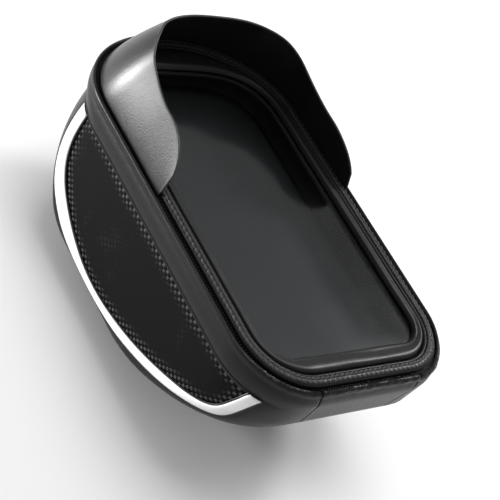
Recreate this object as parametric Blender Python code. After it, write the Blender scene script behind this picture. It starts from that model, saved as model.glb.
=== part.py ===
"""Bicycle phone bag: a moulded tub with a zipped window lid and a sun visor.

Driving dimensions are in millimetres and become metres where a mesh is made. X is across the bag,
Y runs lengthwise towards the visor, and Z is up. The origin is at the middle of the footprint, on
the surface that the bag stands on. Heights called rim heights are measured from the rim plane,
with down negative.
"""
import math

import bmesh
import bpy
from mathutils import Matrix, Vector

MM = 0.001

# Rim: the groove between body and lid, seen from above
RIM_HALF_WIDTH = 53.8
RIM_HALF_LENGTH = 94.0
FAR_ARCH = 42.0
NEAR_CORNER_RADIUS = 28.0
GROOVE_HALF = 1.2
FIT = 0.3

# Body shell
BAND_HEIGHT = 11.5
BAND_THICKNESS = 1.3
BODY_OFFSET = 3.2
BODY_DEPTH = 67.0
FAR_DRAFT = 4.5
DEEPEST_Y = 8.0
SHELL_WALL = 3.2
SHELL_TOP = 3.6
BOTTOM_EDGE_RADIUS = 12.0
NEAR_BOTTOM_RADIUS = 13.0
FAR_BOTTOM_ARCH = 16.0
NEAR_EXPONENTS = (2.0, 1.75)
FAR_EXPONENTS = (2.1, 2.2)
BOTTOM_FLATNESS = 0.985
LINING_THICKNESS = 0.6

# Side panels and the reflective strips round them
STRIP_WIDTH = 4.3
STRIP_THICKNESS = 0.7
RECESS_DEPTH = 1.1
D_CENTRE_Y = 7.6
D_DEPTH = BODY_DEPTH - 6.3
D_NEAR_REACH = RIM_HALF_LENGTH + 7.5
D_FAR_REACH = RIM_HALF_LENGTH - 40.3
D_NEAR_EXPONENTS = (2.0, 1.75)
D_FAR_EXPONENTS = (4.3, 2.0)

# Zip
ZIP_TAPE_THICKNESS = 0.4
ZIP_COIL_WIDTH = 0.75
ZIP_COIL_TOP = 1.2
ZIP_COIL_HEIGHT = 1.1
ZIP_END_HALF_GAP = 21.0
SLIDER_LENGTH = 9.0
SLIDER_PLATE = 1.5
SLIDER_Y = (19.0, 31.0)
BAIL_RADIUS = 0.45
BAIL_HALF_LENGTH = 2.6
PULL_WIDTH = 5.6
PULL_LENGTH = 24.0
PULL_THICKNESS = 1.3
PULL_EYE_RADIUS = 1.1

# Lid
BINDING_WIDTH = 5.0
BINDING_CROWN = 0.95
BINDING_BASE = 2.3
BORDER_GROOVE = 0.8
WINDOW_HALF_WIDTH = RIM_HALF_WIDTH - 10.0
WINDOW_NEAR_Y = 15.0 - RIM_HALF_LENGTH
WINDOW_FAR_Y = RIM_HALF_LENGTH - 18.0
WINDOW_NEAR_RADIUS = 12.0
WINDOW_FAR_ARCH = FAR_ARCH - 8.0
FAR_SQUARENESS = 0.6
WINDOW_SHEET = 0.7
WINDOW_OVERLAP = 2.6
BORDER_CROWN = 0.2
BORDER_LIP = 1.0
FRAME_BOARD = 1.0
FRAME_OUTER_INSET = 2.2
POCKET_DEPTH = 10.4
POCKET_WALL = 1.5
POCKET_HALF_WIDTH = RIM_HALF_WIDTH - 9.3
POCKET_NEAR_Y = 9.0 - RIM_HALF_LENGTH
POCKET_FAR_Y = RIM_HALF_LENGTH - 14.0
POCKET_FAR_ARCH = WINDOW_FAR_ARCH
POCKET_NEAR_RADIUS = 9.0
POCKET_BACK = 1.0
POCKET_MOUTH = 2.0 * POCKET_HALF_WIDTH - 8.0
POCKET_TAB_WIDTH = 25.0
HINGE_TAPE = 0.6

# Visor
VISOR_THICKNESS = 1.0
VISOR_HEIGHTS = (18.5, 28.5, 30.0)
VISOR_LEANS = (7.0, 12.5, 18.0)
VISOR_SIDE_SHARE = 0.2
VISOR_CORNER_SHARE = 0.62
VISOR_RISE_LENGTH = 24.5
VISOR_RISE_POWER = 0.38
VISOR_CURL = 1.3
VISOR_FOOT = 2.0
VISOR_BASE = 0.9
VISOR_END_Y = -2.0
VISOR_SIDE_STEPS = 7
VISOR_ROWS = 6

# Saddle and straps under the bag
STRAP_THICKNESS = 1.6
STRAP_WIDTH = 25.0
STRAP_X = 21.0
SADDLE_HALF_WIDTH = 38.0
SADDLE_LENGTH = 60.0
SADDLE_WEB = 2.4
SADDLE_TUNNEL = 2.4
SADDLE_ROOF = 1.5
SADDLE_SIDE = 6.0
TUNNEL_CLEARANCE = 0.8

# Worked out from the above
SADDLE_BASE_Z = STRAP_THICKNESS + FIT
TUNNEL_FLOOR_Z = SADDLE_BASE_Z + SADDLE_WEB
TUNNEL_ROOF_Z = TUNNEL_FLOOR_Z + SADDLE_TUNNEL
RIM_Z = TUNNEL_ROOF_Z + SADDLE_ROOF + FIT + BODY_DEPTH
NEAR_STEPS = 8
FAR_STEPS = 22
HINGE_Y = RIM_HALF_LENGTH + GROOVE_HALF + FIT
HINGE_HEIGHT = 0.6
LID_NODES = (
    "lid_binding",
    "window_border",
    "clear_window",
    "lid_frame",
    "zip_tape_lid",
    "zip_coil_lid",
    "pocket_wall",
    "pocket_back",
    "pocket_tab",
    "visor",
)


def remove_everything():
    """Clear the file's own objects."""
    for item in list(bpy.data.objects):
        bpy.data.objects.remove(item, do_unlink=True)


def material(name, colour, roughness, metallic=0.0, alpha=1.0):
    """One plain Principled material."""
    result = bpy.data.materials.new(name)
    result.use_nodes = True
    shader = result.node_tree.nodes["Principled BSDF"]
    shader.inputs["Base Color"].default_value = (*colour, 1.0)
    shader.inputs["Roughness"].default_value = roughness
    shader.inputs["Metallic"].default_value = metallic
    shader.inputs["Alpha"].default_value = alpha
    result.diffuse_color = (*colour, alpha)
    return result


def add_object(name, mesh_data, finish=None):
    """Turn a bmesh in millimetres into a named object in metres."""
    bmesh.ops.remove_doubles(mesh_data, verts=mesh_data.verts, dist=0.001)
    bmesh.ops.recalc_face_normals(mesh_data, faces=mesh_data.faces)
    bmesh.ops.scale(mesh_data, vec=(MM, MM, MM), verts=mesh_data.verts)
    mesh = bpy.data.meshes.new(name)
    mesh_data.to_mesh(mesh)
    mesh_data.free()
    result = bpy.data.objects.new(name, mesh)
    bpy.context.collection.objects.link(result)
    mesh.shade_smooth()
    mesh.set_sharp_from_angle(angle=math.radians(35))
    if finish:
        mesh.materials.append(finish)
    return result


def skin(sections, closed_loop=False, caps=True):
    """Join sections, each a closed outline of like count, into a bmesh."""
    made = bmesh.new()
    rows = [[made.verts.new(point) for point in section] for section in sections]
    pairs = list(zip(rows, rows[1:]))
    if closed_loop:
        pairs.append((rows[-1], rows[0]))
    for lower, upper in pairs:
        count = len(lower)
        for index in range(count):
            after = (index + 1) % count
            made.faces.new((lower[index], lower[after], upper[after], upper[index]))
    if caps and not closed_loop:
        made.faces.new(rows[0][::-1])
        made.faces.new(rows[-1])
    return made


def corner_points(centre_x, centre_y, radius, start, steps):
    """A quarter round from a start angle in degrees."""
    points = []
    for step in range(steps + 1):
        angle = math.radians(start + 90.0 * step / steps)
        points.append(Vector((centre_x + radius * math.cos(angle), centre_y + radius * math.sin(angle))))
    return points


def far_arch(half_width, far_y, depth, power=1.0):
    """The arched far end from the right side to the left; a power under 1 squares its corners."""
    points = []
    for step in range(FAR_STEPS + 1):
        angle = math.pi * step / FAR_STEPS
        across = math.copysign(abs(math.cos(angle)) ** power, math.cos(angle))
        along = abs(math.sin(angle)) ** power
        points.append(Vector((half_width * across, far_y - depth + depth * along)))
    return points


def near_corners(half_width, near_y, radius):
    """The two rounded corners of the rider's end, from the left side to the right."""
    inner_x = half_width - radius
    inner_y = near_y + radius
    left = corner_points(-inner_x, inner_y, radius, 180.0, NEAR_STEPS)
    return left + corner_points(inner_x, inner_y, radius, 270.0, NEAR_STEPS)


def offset_outline(points, offset):
    """A closed anticlockwise outline moved outwards by an offset along its normals."""
    moved = []
    for index, point in enumerate(points):
        along = (points[(index + 1) % len(points)] - point).normalized()
        along += (point - points[index - 1]).normalized()
        along.normalize()
        moved.append(point + Vector((along.y, -along.x)) * offset)
    return moved


def plan_outline(half_width, near_y, far_y, near_radius, arch, offset=0.0, power=1.0):
    """A plan outline with an arched far end and two round corners at the rider's end."""
    points = far_arch(half_width, far_y, arch, power) + near_corners(half_width, near_y, near_radius)
    return offset_outline(points, offset)


def at_height(plan, height):
    """Plan points as space points at a rim height."""
    return [(point.x, point.y, RIM_Z + height) for point in plan]


def far_lean(height):
    """How far the far end leans in at a rim height; it stands upright down to the tub's own rim."""
    return FAR_DRAFT * max(0.0, -SHELL_TOP - height) / (BAND_HEIGHT - SHELL_TOP)


def rim_outline(offset, height):
    """The rim's outline moved outwards by an offset, at a rim height."""
    plan = plan_outline(
        RIM_HALF_WIDTH,
        -RIM_HALF_LENGTH,
        RIM_HALF_LENGTH - far_lean(height),
        NEAR_CORNER_RADIUS,
        FAR_ARCH,
        offset,
    )
    return at_height(plan, height)


def rim_ring(profile):
    """A closed ring along the rim from a profile of (offset, height) points."""
    return skin([rim_outline(offset, height) for offset, height in profile], closed_loop=True)


def far_stations(start_y, side_steps):
    """Rim points with normals from the right side at start_y, past the far end, to the left side."""
    side_end = RIM_HALF_LENGTH - FAR_ARCH
    right = []
    for step in range(side_steps):
        along = start_y + (side_end - start_y) * step / side_steps
        right.append(Vector((RIM_HALF_WIDTH, along)))
    left = [Vector((-point.x, point.y)) for point in reversed(right)]
    return with_normals(right + far_arch(RIM_HALF_WIDTH, RIM_HALF_LENGTH, FAR_ARCH) + left)


def zip_stations():
    """Rim points with normals along the zip, from one end of the lid's hinge to the other."""
    arch = far_arch(RIM_HALF_WIDTH, RIM_HALF_LENGTH, FAR_ARCH)
    left = [point for point in arch if point.x <= -ZIP_END_HALF_GAP]
    right = [point for point in arch if point.x >= ZIP_END_HALF_GAP]
    return with_normals(left + near_corners(RIM_HALF_WIDTH, -RIM_HALF_LENGTH, NEAR_CORNER_RADIUS) + right)


def with_normals(points):
    """Pair each point of an open anticlockwise path with its outward normal."""
    stations = []
    for index, point in enumerate(points):
        before = points[max(index - 1, 0)]
        after = points[min(index + 1, len(points) - 1)]
        along = (after - before).normalized()
        stations.append((point, Vector((along.y, -along.x))))
    return stations


def sweep(stations, profile):
    """Sweep an (offset, height) profile along open rim stations."""
    sections = []
    for point, normal in stations:
        sections.append([(*(point + normal * offset), RIM_Z + height) for offset, height in profile])
    return skin(sections)


def box_profile(inner, outer, bottom, top):
    """A rectangular (offset, height) profile."""
    return [(inner, bottom), (outer, bottom), (outer, top), (inner, top)]


def fall(share, exponents):
    """How much of its reach a superellipse keeps at a share of its depth."""
    first, second = exponents
    return max(0.0, 1.0 - share ** first) ** (1.0 / second)


def body_section(share, inset, lift=0.0):
    """The tub's outline at a share of its depth below the band, moved in by an inset."""
    below_band = BODY_DEPTH - BAND_HEIGHT - FIT
    depth = BAND_HEIGHT + FIT + below_band * share
    reach_share = share * BOTTOM_FLATNESS
    reach = RIM_HALF_LENGTH + BODY_OFFSET
    near_y = DEEPEST_Y - (reach + DEEPEST_Y) * fall(reach_share, NEAR_EXPONENTS)
    far_reach = reach - far_lean(-BAND_HEIGHT - FIT) - DEEPEST_Y
    far_y = DEEPEST_Y + far_reach * fall(reach_share, FAR_EXPONENTS)
    near_rim = NEAR_CORNER_RADIUS + BODY_OFFSET
    far_rim = FAR_ARCH + BODY_OFFSET
    near_radius = near_rim + (NEAR_BOTTOM_RADIUS - near_rim) * share
    arch = far_rim + (FAR_BOTTOM_ARCH - far_rim) * share
    edge = max(0.0, BOTTOM_EDGE_RADIUS - (BODY_DEPTH - depth))
    half_width = RIM_HALF_WIDTH + BODY_OFFSET - BOTTOM_EDGE_RADIUS
    half_width += math.sqrt(max(0.0, BOTTOM_EDGE_RADIUS ** 2 - edge ** 2))
    plan = plan_outline(half_width, near_y, far_y, near_radius, arch, -inset)
    return at_height(plan, lift - depth)


BODY_SHARES = (0.0, 0.1, 0.21, 0.33, 0.45, 0.57, 0.68, 0.78, 0.86, 0.92, 0.96, 0.985, 1.0)


def tub_sections(inset, top):
    """Sections of the tub's surface moved in by an inset, from the bottom up to a rim height."""
    sections = []
    for share in reversed(BODY_SHARES):
        rise = inset * share ** 2
        side = inset * (1.0 - 0.3 * share ** 2)
        sections.append(body_section(share, side, rise))
    sections.append(rim_outline(BODY_OFFSET - inset, top))
    return sections


def make_hull(finish):
    """The moulded tub, with a rebate for the band and a shallow recess on each side."""
    outer = [body_section(share, 0.0) for share in reversed(BODY_SHARES)]
    rebate = BODY_OFFSET - BAND_THICKNESS - FIT
    outer.append(rim_outline(rebate, -BAND_HEIGHT - FIT))
    outer.append(rim_outline(rebate, -SHELL_TOP))
    inner = tub_sections(SHELL_WALL, -SHELL_TOP)
    hull = add_object("hull", skin(outer + inner[::-1]), finish)
    for side in (-1, 1):
        cutter = side_prism("recess_cutter", side, -FIT, -BAND_HEIGHT + FIT)
        cut(cutter, body_guide(RECESS_DEPTH), "DIFFERENCE")
        cut(hull, cutter, "DIFFERENCE")
    return hull


def make_lining(finish):
    """The fabric lining inside the tub."""
    gap = SHELL_WALL + FIT
    outer = tub_sections(gap, -SHELL_TOP)
    inner = tub_sections(gap + LINING_THICKNESS, -SHELL_TOP)
    return add_object("inner_lining", skin(outer + inner[::-1]), finish)


def make_band(finish):
    """The smooth band under the rim, with its top edge rolled inwards over the zip tape."""
    inner = BODY_OFFSET - BAND_THICKNESS
    profile = [
        (inner, -BAND_HEIGHT),
        (BODY_OFFSET, -BAND_HEIGHT),
        (BODY_OFFSET, -SHELL_TOP),
        (BODY_OFFSET, -1.6),
        (BODY_OFFSET - 0.5, -0.5),
        (inner, 0.0),
        (GROOVE_HALF + 0.1, -0.5),
        (GROOVE_HALF, -1.2),
        (GROOVE_HALF, -2.6),
        (inner, -2.8),
        (inner, -SHELL_TOP),
    ]
    return add_object("upper_band", rim_ring(profile), finish)


def hide(guide):
    """Mark an object as a guide that is not part of the model."""
    guide.hide_render = True
    guide.display_type = "WIRE"
    return guide


def cut(target, cutter, operation):
    """Add a Boolean to a target."""
    hide(cutter)
    modifier = target.modifiers.new(operation.lower(), "BOOLEAN")
    modifier.operation = operation
    modifier.solver = "EXACT"
    modifier.object = cutter


def body_guide(inset):
    """A closed guide body whose surface lies an inset inside the tub's own."""
    sections = [body_section(share, inset * (1 - share), inset * share) for share in reversed(BODY_SHARES)]
    sections.append(rim_outline(BODY_OFFSET - inset, 0.0))
    return hide(add_object("body_guide", skin(sections)))


def side_outline(inset, top):
    """The side panel's D outline in the (Y, height) plane, moved in by an inset."""
    steps = 12
    points = []
    for step in range(steps + 1):
        share = math.sin(math.radians(90.0 * step / steps))
        reach = D_FAR_REACH * fall(share, D_FAR_EXPONENTS)
        points.append(Vector((D_CENTRE_Y + reach, -D_DEPTH * share)))
    for step in reversed(range(steps)):
        share = math.sin(math.radians(90.0 * step / steps))
        reach = D_NEAR_REACH * fall(share, D_NEAR_EXPONENTS)
        points.append(Vector((D_CENTRE_Y - reach, -D_DEPTH * share)))
    moved = []
    for index, point in enumerate(points):
        before = points[max(index - 1, 0)]
        after = points[min(index + 1, len(points) - 1)]
        along = (after - before).normalized()
        moved.append(point + Vector((along.y, -along.x)) * inset)
    return clip_top(moved, top)


def clip_top(points, top):
    """Cut an outline, open at the top, off at a rim height."""
    kept = []
    for before, after in zip(points, points[1:]):
        if (before.y > top) != (after.y > top):
            share = (top - before.y) / (after.y - before.y)
            kept.append(before.lerp(after, share))
        if after.y < top:
            kept.append(after)
    return kept


def side_prism(name, side, inset, top, finish=None):
    """A D shaped prism through one side of the bag."""
    inside = RIM_HALF_WIDTH - NEAR_CORNER_RADIUS
    outside = RIM_HALF_WIDTH + 3.0 * BODY_OFFSET
    outline = side_outline(inset, top)
    sections = [[(side * x, point.x, RIM_Z + point.y) for point in outline] for x in (inside, outside)]
    return add_object(name, skin(sections), finish)


def make_side(side, label, panel_finish, strip_finish):
    """One textured side panel and the reflective strip that frames it."""
    top = -BAND_HEIGHT - 2.0 * FIT
    face = RECESS_DEPTH - FIT - STRIP_THICKNESS
    panel = side_prism("side_panel_" + label, side, STRIP_WIDTH + FIT, top, panel_finish)
    cut(panel, body_guide(face), "INTERSECT")
    cut(panel, body_guide(face + STRIP_THICKNESS), "DIFFERENCE")
    strip = side_prism("reflective_strip_" + label, side, 0.0, top, strip_finish)
    cut(strip, body_guide(face), "INTERSECT")
    cut(strip, body_guide(face + STRIP_THICKNESS), "DIFFERENCE")
    cut(strip, side_prism("strip_cutter", side, STRIP_WIDTH, top + 1.0), "DIFFERENCE")


def make_zip(tape_finish, coil_finish):
    """Both halves of the zip, its tapes and the stops at its ends."""
    stations = zip_stations()
    tape_top = -SHELL_TOP + FIT + ZIP_TAPE_THICKNESS
    half_gap = FIT / 2
    shell_tape = box_profile(half_gap, BODY_OFFSET - BAND_THICKNESS - FIT, -SHELL_TOP + FIT, tape_top)
    add_object("zip_tape_shell", sweep(stations, shell_tape), tape_finish)
    coil = box_profile(half_gap, half_gap + ZIP_COIL_WIDTH, tape_top + FIT, -ZIP_COIL_TOP)
    add_object("zip_coil_shell", sweep(stations, coil), coil_finish)
    lid_tape_top = -BINDING_BASE - FIT
    lid_tape = box_profile(
        -GROOVE_HALF - BINDING_WIDTH + FIT, -half_gap, lid_tape_top - ZIP_TAPE_THICKNESS, lid_tape_top
    )
    add_object("zip_tape_lid", sweep(stations, lid_tape), tape_finish)
    lid_coil = box_profile(-half_gap - ZIP_COIL_WIDTH, -half_gap, -ZIP_COIL_TOP - ZIP_COIL_HEIGHT, -ZIP_COIL_TOP)
    add_object("zip_coil_lid", sweep(stations, lid_coil), coil_finish)


def block(low, high, bevel=0.0):
    """A box between two corners, with all edges rounded if a bevel is given."""
    made = bmesh.new()
    bmesh.ops.create_cube(made, size=1.0)
    middle = [(a + b) / 2 for a, b in zip(low, high)]
    bmesh.ops.scale(made, vec=[b - a for a, b in zip(low, high)], verts=made.verts)
    bmesh.ops.translate(made, vec=middle, verts=made.verts)
    if bevel:
        bmesh.ops.bevel(made, geom=made.edges[:], offset=bevel, segments=2, affect="EDGES", profile=0.5)
    return made


def tube_along_y(centre_x, centre_z, from_y, to_y, radius, sides=12):
    """A round bar along Y."""
    sections = []
    for y in (from_y, to_y):
        ring = []
        for step in range(sides):
            angle = math.tau * step / sides
            ring.append((centre_x + radius * math.cos(angle), y, centre_z + radius * math.sin(angle)))
        sections.append(ring)
    return skin(sections)


PULL_BEVEL = 0.5
BAIL_X = RIM_HALF_WIDTH + BODY_OFFSET + PULL_THICKNESS / 2 + FIT + 0.05
SLIDER_FLOOR = FIT + 0.05
BAIL_HEIGHT = SLIDER_FLOOR + SLIDER_PLATE / 2 + 0.4


def make_slider(label, centre_y, finish):
    """A zip slider: a keel in the groove, a plate over the band and a bail for its pull."""
    name = "zip_slider_" + label
    inner_x = RIM_HALF_WIDTH + FIT + 0.1
    half = SLIDER_LENGTH / 2
    plate_low = (inner_x, centre_y - half, RIM_Z + SLIDER_FLOOR)
    outer_x = BAIL_X - PULL_EYE_RADIUS - FIT
    plate_high = (outer_x, centre_y + half, RIM_Z + SLIDER_FLOOR + SLIDER_PLATE)
    slider = add_object(name, block(plate_low, plate_high, bevel=0.4), finish)
    keel_low = (inner_x, centre_y - half + 1.0, RIM_Z - ZIP_COIL_TOP + FIT)
    keel_high = (inner_x + 0.5, centre_y + half - 1.0, RIM_Z + SLIDER_FLOOR + SLIDER_PLATE / 2)
    cut(slider, add_object(name + "_keel", block(keel_low, keel_high)), "UNION")
    bail_z = RIM_Z + BAIL_HEIGHT
    for side in (-1, 1):
        ear_inner = centre_y + side * (BAIL_HALF_LENGTH - 0.8)
        ear_outer = centre_y + side * BAIL_HALF_LENGTH
        low_y, high_y = sorted((ear_inner, ear_outer))
        ear = block(
            (outer_x - 1.0, low_y, bail_z - 0.7),
            (BAIL_X + 0.8, high_y, bail_z + 0.7),
        )
        cut(slider, add_object(name + "_ear", ear), "UNION")
    bar_half = BAIL_HALF_LENGTH - 0.4
    bar = tube_along_y(BAIL_X, bail_z, centre_y - bar_half, centre_y + bar_half, BAIL_RADIUS)
    cut(slider, add_object(name + "_bar", bar), "UNION")


def make_pull(label, centre_y, finish):
    """A pull tab that hangs from its slider's bail, with its origin on the bail's axis."""
    name = "pull_tab_" + label
    bail_z = RIM_Z + BAIL_HEIGHT
    eye_half = BAIL_HALF_LENGTH - 0.8 - FIT
    eye = tube_along_y(BAIL_X, bail_z, centre_y - eye_half, centre_y + eye_half, PULL_EYE_RADIUS)
    pull = add_object(name, eye, finish)
    neck = block(
        (BAIL_X - PULL_THICKNESS / 2 + 0.05, centre_y - eye_half + 0.2, bail_z - 5.0),
        (BAIL_X + PULL_THICKNESS / 2 - 0.05, centre_y + eye_half - 0.2, bail_z - 0.6),
    )
    cut(pull, add_object(name + "_neck", neck), "UNION")
    blade = block(
        (BAIL_X - PULL_THICKNESS / 2, centre_y - PULL_WIDTH / 2, bail_z - PULL_LENGTH),
        (BAIL_X + PULL_THICKNESS / 2, centre_y + PULL_WIDTH / 2, bail_z - 4.0),
        bevel=PULL_BEVEL,
    )
    cut(pull, add_object(name + "_blade", blade), "UNION")
    hole = tube_along_y(
        BAIL_X, bail_z, centre_y - eye_half - 1.0, centre_y + eye_half + 1.0, BAIL_RADIUS + FIT
    )
    cut(pull, add_object(name + "_hole", hole), "DIFFERENCE")


def make_binding(finish):
    """The stitched binding along the lid's edge."""
    inner = -GROOVE_HALF - BINDING_WIDTH
    shoulder = 0.3
    profile = [
        (inner, -BINDING_BASE),
        (-GROOVE_HALF, -BINDING_BASE),
        (-GROOVE_HALF, -shoulder),
        (-GROOVE_HALF - 0.8, BINDING_CROWN * 0.6),
        (-GROOVE_HALF - BINDING_WIDTH / 2, BINDING_CROWN),
        (inner + 0.8, BINDING_CROWN * 0.6),
        (inner, -shoulder),
    ]
    return add_object("lid_binding", rim_ring(profile), finish)


def window_outline(margin, height):
    """The window's outline grown by a margin, at a rim height."""
    plan = plan_outline(
        WINDOW_HALF_WIDTH,
        WINDOW_NEAR_Y,
        WINDOW_FAR_Y,
        WINDOW_NEAR_RADIUS,
        WINDOW_FAR_ARCH,
        margin,
        FAR_SQUARENESS,
    )
    return at_height(plan, height)


def make_window(border_finish, window_finish, board_finish):
    """The glossy border, the clear sheet under it and the board that carries both."""
    outer = -GROOVE_HALF - BINDING_WIDTH - BORDER_GROOVE
    base = -BINDING_BASE + FIT
    middle = [
        tuple((a + b) / 2 for a, b in zip(first, second))
        for first, second in zip(rim_outline(outer, BORDER_CROWN), window_outline(0.0, BORDER_CROWN))
    ]
    border = [
        rim_outline(outer, base),
        rim_outline(outer, -BORDER_LIP),
        middle,
        window_outline(0.0, -BORDER_LIP),
        window_outline(0.0, base),
    ]
    add_object("window_border", skin(border, closed_loop=True), border_finish)
    sheet_top = base - FIT
    sheet = [window_outline(WINDOW_OVERLAP, height) for height in (sheet_top - WINDOW_SHEET, sheet_top)]
    add_object("clear_window", skin(sheet), window_finish)
    board_top = sheet_top - WINDOW_SHEET - FIT
    board = [
        rim_outline(-FRAME_OUTER_INSET, board_top - FRAME_BOARD),
        rim_outline(-FRAME_OUTER_INSET, board_top),
        window_outline(-1.0, board_top),
        window_outline(-1.0, board_top - FRAME_BOARD),
    ]
    add_object("lid_frame", skin(board, closed_loop=True), board_finish)
    return board_top - FRAME_BOARD


def pocket_outline(margin, height):
    """The phone pocket's outline grown by a margin, at a rim height."""
    plan = plan_outline(
        POCKET_HALF_WIDTH,
        POCKET_NEAR_Y,
        POCKET_FAR_Y,
        POCKET_NEAR_RADIUS,
        POCKET_FAR_ARCH,
        margin,
        FAR_SQUARENESS,
    )
    return at_height(plan, height)


def make_pocket(board_base, wall_finish, tab_finish):
    """The phone pocket under the window: a wall open at the rider's end, a back and a closing tab."""
    top = board_base - FIT
    bottom = top - POCKET_DEPTH
    ring = [
        pocket_outline(0.0, bottom),
        pocket_outline(0.0, top),
        pocket_outline(-POCKET_WALL, top),
        pocket_outline(-POCKET_WALL, bottom),
    ]
    wall = add_object("pocket_wall", skin(ring, closed_loop=True), wall_finish)
    mouth_half = POCKET_MOUTH / 2
    mouth = block(
        (-mouth_half, POCKET_NEAR_Y - POCKET_NEAR_RADIUS, RIM_Z + bottom - 1.0),
        (mouth_half, POCKET_NEAR_Y + POCKET_NEAR_RADIUS, RIM_Z + top + 1.0),
    )
    cut(wall, add_object("pocket_mouth_cutter", mouth), "DIFFERENCE")
    back_top = bottom - FIT
    back = [pocket_outline(0.0, height) for height in (back_top - POCKET_BACK, back_top)]
    add_object("pocket_back", skin(back), wall_finish)
    tab_half = POCKET_TAB_WIDTH / 2
    tab = block(
        (-tab_half, POCKET_NEAR_Y - FIT - POCKET_BACK, RIM_Z + back_top - POCKET_BACK),
        (tab_half, POCKET_NEAR_Y - FIT, RIM_Z + top),
    )
    add_object("pocket_tab", tab, tab_finish)


def smooth_step(low, high, value):
    """A smooth rise from 0 at low to 1 at high."""
    share = min(1.0, max(0.0, (value - low) / (high - low)))
    return share * share * (3.0 - 2.0 * share)


def visor_value(values, share):
    """Blend a (side, corner, far) triple at a share of the way from a wing's end to the far middle."""
    side, corner, far = values
    to_corner = smooth_step(VISOR_SIDE_SHARE, VISOR_CORNER_SHARE, share)
    to_far = smooth_step(VISOR_CORNER_SHARE, 1.0, share)
    return side + (corner - side) * to_corner + (far - corner) * to_far


def visor_column(run, total):
    """The visor's centre line at a run along its base, as (offset, height) points from the foot up."""
    from_end = min(run, total - run)
    share = 2.0 * from_end / total
    rise = math.sin(min(1.0, from_end / VISOR_RISE_LENGTH) * math.pi / 2) ** VISOR_RISE_POWER
    height = VISOR_FOOT + visor_value(VISOR_HEIGHTS, share) * rise
    lean = visor_value(VISOR_LEANS, share) * rise ** VISOR_CURL
    base_offset = -VISOR_THICKNESS / 2
    column = []
    for row in range(VISOR_ROWS + 1):
        up = row / VISOR_ROWS
        column.append((base_offset - lean * up ** VISOR_CURL, height * up - VISOR_BASE))
    return column


def make_visor(finish):
    """The sun visor, a bent sheet that stands in the groove round the lid's far end and leans in."""
    stations = far_stations(VISOR_END_Y, VISOR_SIDE_STEPS)
    runs = [0.0]
    for (before, _), (after, _) in zip(stations, stations[1:]):
        runs.append(runs[-1] + (after - before).length)
    half = VISOR_THICKNESS / 2
    sections = []
    for run, (point, normal) in zip(runs, stations):
        column = visor_column(run, runs[-1])
        outer = [(offset + half, level) for offset, level in column]
        inner = [(offset - half, level) for offset, level in reversed(column)]
        sections.append([(*(point + normal * offset), RIM_Z + level) for offset, level in outer + inner])
    return add_object("visor", skin(sections), finish)


def make_hinge(finish):
    """The fabric tape that hinges the lid at the far end."""
    arch = far_arch(RIM_HALF_WIDTH, RIM_HALF_LENGTH, FAR_ARCH)
    stations = with_normals([point for point in arch if abs(point.x) < ZIP_END_HALF_GAP])
    reach = GROOVE_HALF - FIT
    top = -VISOR_BASE - FIT - 0.1
    profile = box_profile(-reach, reach, top - HINGE_TAPE, top)
    return add_object("lid_hinge_tape", sweep(stations, profile), finish)


def make_saddle(finish):
    """The rubber saddle under the tub, with a tunnel for each strap."""
    half = SADDLE_LENGTH / 2
    low = (-SADDLE_HALF_WIDTH, DEEPEST_Y - half, SADDLE_BASE_Z)
    high = (SADDLE_HALF_WIDTH, DEEPEST_Y + half, TUNNEL_ROOF_Z + SADDLE_ROOF + SADDLE_SIDE)
    saddle = add_object("saddle_pad", block(low, high), finish)
    cut(saddle, body_guide(-FIT), "DIFFERENCE")
    for side in (-1, 1):
        tunnel_half = STRAP_WIDTH / 2 + TUNNEL_CLEARANCE
        tunnel = block(
            (side * STRAP_X - tunnel_half, DEEPEST_Y - SADDLE_LENGTH, TUNNEL_FLOOR_Z),
            (side * STRAP_X + tunnel_half, DEEPEST_Y + SADDLE_LENGTH, TUNNEL_ROOF_Z),
        )
        cut(saddle, add_object("tunnel_cutter", tunnel), "DIFFERENCE")


def make_strap(side, label, finish):
    """One hook and loop strap, closed round the web under its tunnel."""
    inner_radius = SADDLE_WEB / 2 + FIT
    outer_radius = inner_radius + STRAP_THICKNESS
    middle_z = SADDLE_BASE_Z + SADDLE_WEB / 2
    steps = 8
    half = SADDLE_LENGTH / 2 + FIT
    sections = []
    for x in (side * STRAP_X - STRAP_WIDTH / 2, side * STRAP_X + STRAP_WIDTH / 2):
        rings = []
        for radius in (outer_radius, inner_radius):
            ring = []
            for end, start in ((1, -90.0), (-1, 90.0)):
                for step in range(steps + 1):
                    angle = math.radians(start + 180.0 * step / steps)
                    y = DEEPEST_Y + end * half + radius * math.cos(angle)
                    ring.append((x, y, middle_z + radius * math.sin(angle)))
            rings.append(ring)
        sections.append(rings)
    (left_outer, left_inner), (right_outer, right_inner) = sections
    rows = [left_outer, right_outer, right_inner, left_inner]
    return add_object("strap_" + label, skin(rows, closed_loop=True), finish)


def set_pivot(names, pivot):
    """Put the origins of the named objects at a point on their joint's axis; nothing moves."""
    for name in names:
        target = bpy.data.objects[name]
        target.data.transform(Matrix.Translation(-pivot))
        target.location = pivot


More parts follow.
